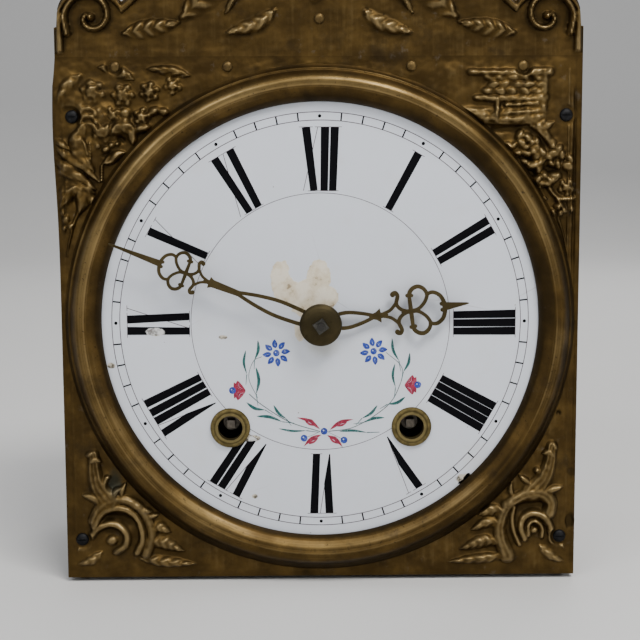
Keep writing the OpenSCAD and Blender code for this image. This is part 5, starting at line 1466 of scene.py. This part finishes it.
class CLOCK_OT_stage(ClockPiece, bpy.types.Operator):
    """Set the floor, the lights and the camera"""
    bl_idname = "clock.stage"
    bl_label = "Stage"

    def build(self):
        self.floor()
        self.lights()
        self.camera()

    def floor(self):
        """A pale floor that sweeps up behind the clock."""
        floor, u, v = sheet_grid(2, 60)
        floor.name = "floor"
        half_width, length, front = 8.0, 9.0, -4.0
        flat, radius, sunk = 1.8, 1.2, 0.0002
        run = v * length + front
        bend = np.clip((run - flat) / radius, 0, 0.5 * math.pi)
        wall = np.maximum(run - flat - 0.5 * math.pi * radius, 0)
        pressed(floor, half_width * (2 * u - 1), np.minimum(run, flat) + radius * np.sin(bend),
                radius * (1 - np.cos(bend)) + wall - sunk)
        bpy.ops.object.shade_smooth()
        f = Finish("pale floor")
        grain = f.noise(9.0, 4.0)
        tone = f.mix(grain * 0.2, (0.70, 0.695, 0.68), (0.63, 0.625, 0.61))
        floor.data.materials.append(f.done(Base_Color=tone, Roughness=0.75 + grain * 0.05))

    def lights(self):
        aim = Vector((0, 0, 0.15))
        for name, place, power, width, height, tint in (
                ("key", (0.50, -1.00, 1.62), 30.0, 0.8, 0.6, (1.0, 0.985, 0.96)),
                ("window", (-0.85, -1.35, 1.20), 12.0, 1.1, 0.9, (0.98, 0.99, 1.0)),
                ("fill", (1.2, -1.2, 0.30), 3.0, 1.0, 0.9, (0.97, 0.985, 1.0)),
                ("back", (0.4, 1.6, 1.3), 14.0, 1.4, 1.0, (1.0, 0.99, 0.98))):
            lamp = bpy.data.lights.new(name, "AREA")
            lamp.shape = "RECTANGLE"
            lamp.size, lamp.size_y = width, height
            lamp.energy = power
            lamp.color = tint
            obj = bpy.data.objects.new(name, lamp)
            bpy.context.scene.collection.objects.link(obj)
            obj.location = place
            obj.rotation_euler = (aim - Vector(place)).to_track_quat("-Z", "Y").to_euler()
        world = bpy.data.worlds.new("studio")
        world.use_nodes = True
        sky = world.node_tree.nodes["Background"]
        sky.inputs["Color"].default_value = (0.93, 0.95, 1.0, 1.0)
        sky.inputs["Strength"].default_value = 0.40
        bpy.context.scene.world = world

    def camera(self):
        azimuth, elevation, roll = math.radians(-0.729), math.radians(7.357), math.radians(-0.234)
        target = Vector((-0.26, -65.95, 134.52)) * MM
        distance = 724.2 * MM
        away = Vector((math.sin(azimuth) * math.cos(elevation), -math.cos(azimuth) * math.cos(elevation),
                       math.sin(elevation)))
        right = (-away).cross(Vector((0, 0, 1))).normalized()
        up = right.cross(-away)
        lens = bpy.data.cameras.new("camera")
        lens.sensor_fit = "HORIZONTAL"
        lens.sensor_width = 36.0
        lens.lens = 82.0
        lens.clip_start, lens.clip_end = 0.01, 50.0
        camera = bpy.data.objects.new("camera", lens)
        bpy.context.scene.collection.objects.link(camera)
        x = right * math.cos(roll) + up * math.sin(roll)
        y = up * math.cos(roll) - right * math.sin(roll)
        turn = Matrix((x, y, away)).transposed().to_4x4()
        camera.matrix_world = Matrix.Translation(target + away * distance) @ turn
        bpy.context.scene.camera = camera


class CLOCK_PT_panel(bpy.types.Panel):
    bl_idname = "CLOCK_PT_panel"
    bl_label = "Comtoise clock"
    bl_space_type = "VIEW_3D"
    bl_region_type = "UI"
    bl_category = "Clock"

    def draw(self, context):
        for group in (context.scene.clock_sizes, context.scene.clock_colours):
            box = self.layout.box()
            for key in group.bl_rna.properties.keys():
                if key not in ("rna_type", "name"):
                    box.prop(group, key)
        for operator in OPERATORS:
            self.layout.operator(operator.bl_idname)


OPERATORS = (CLOCK_OT_bezel, CLOCK_OT_corners, CLOCK_OT_pediment, CLOCK_OT_dial, CLOCK_OT_numerals,
             CLOCK_OT_garland, CLOCK_OT_knobs, CLOCK_OT_metals, CLOCK_OT_stage)
CLASSES = (ClockSizes, ClockColours) + OPERATORS + (CLOCK_PT_panel,)


def register():
    for kind in CLASSES:
        bpy.utils.register_class(kind)
    bpy.types.Scene.clock_sizes = bpy.props.PointerProperty(type=ClockSizes)
    bpy.types.Scene.clock_colours = bpy.props.PointerProperty(type=ClockColours)


def unregister():
    del bpy.types.Scene.clock_colours
    del bpy.types.Scene.clock_sizes
    for kind in reversed(CLASSES):
        bpy.utils.unregister_class(kind)


def main():
    register()
    bpy.ops.clock.bezel()
    bpy.ops.clock.corners()
    bpy.ops.clock.pediment()
    bpy.ops.clock.dial()
    bpy.ops.clock.numerals()
    bpy.ops.clock.garland()
    bpy.ops.clock.knobs()
    bpy.ops.clock.metals()
    bpy.ops.clock.stage()


if __name__ == "__main__":
    main()
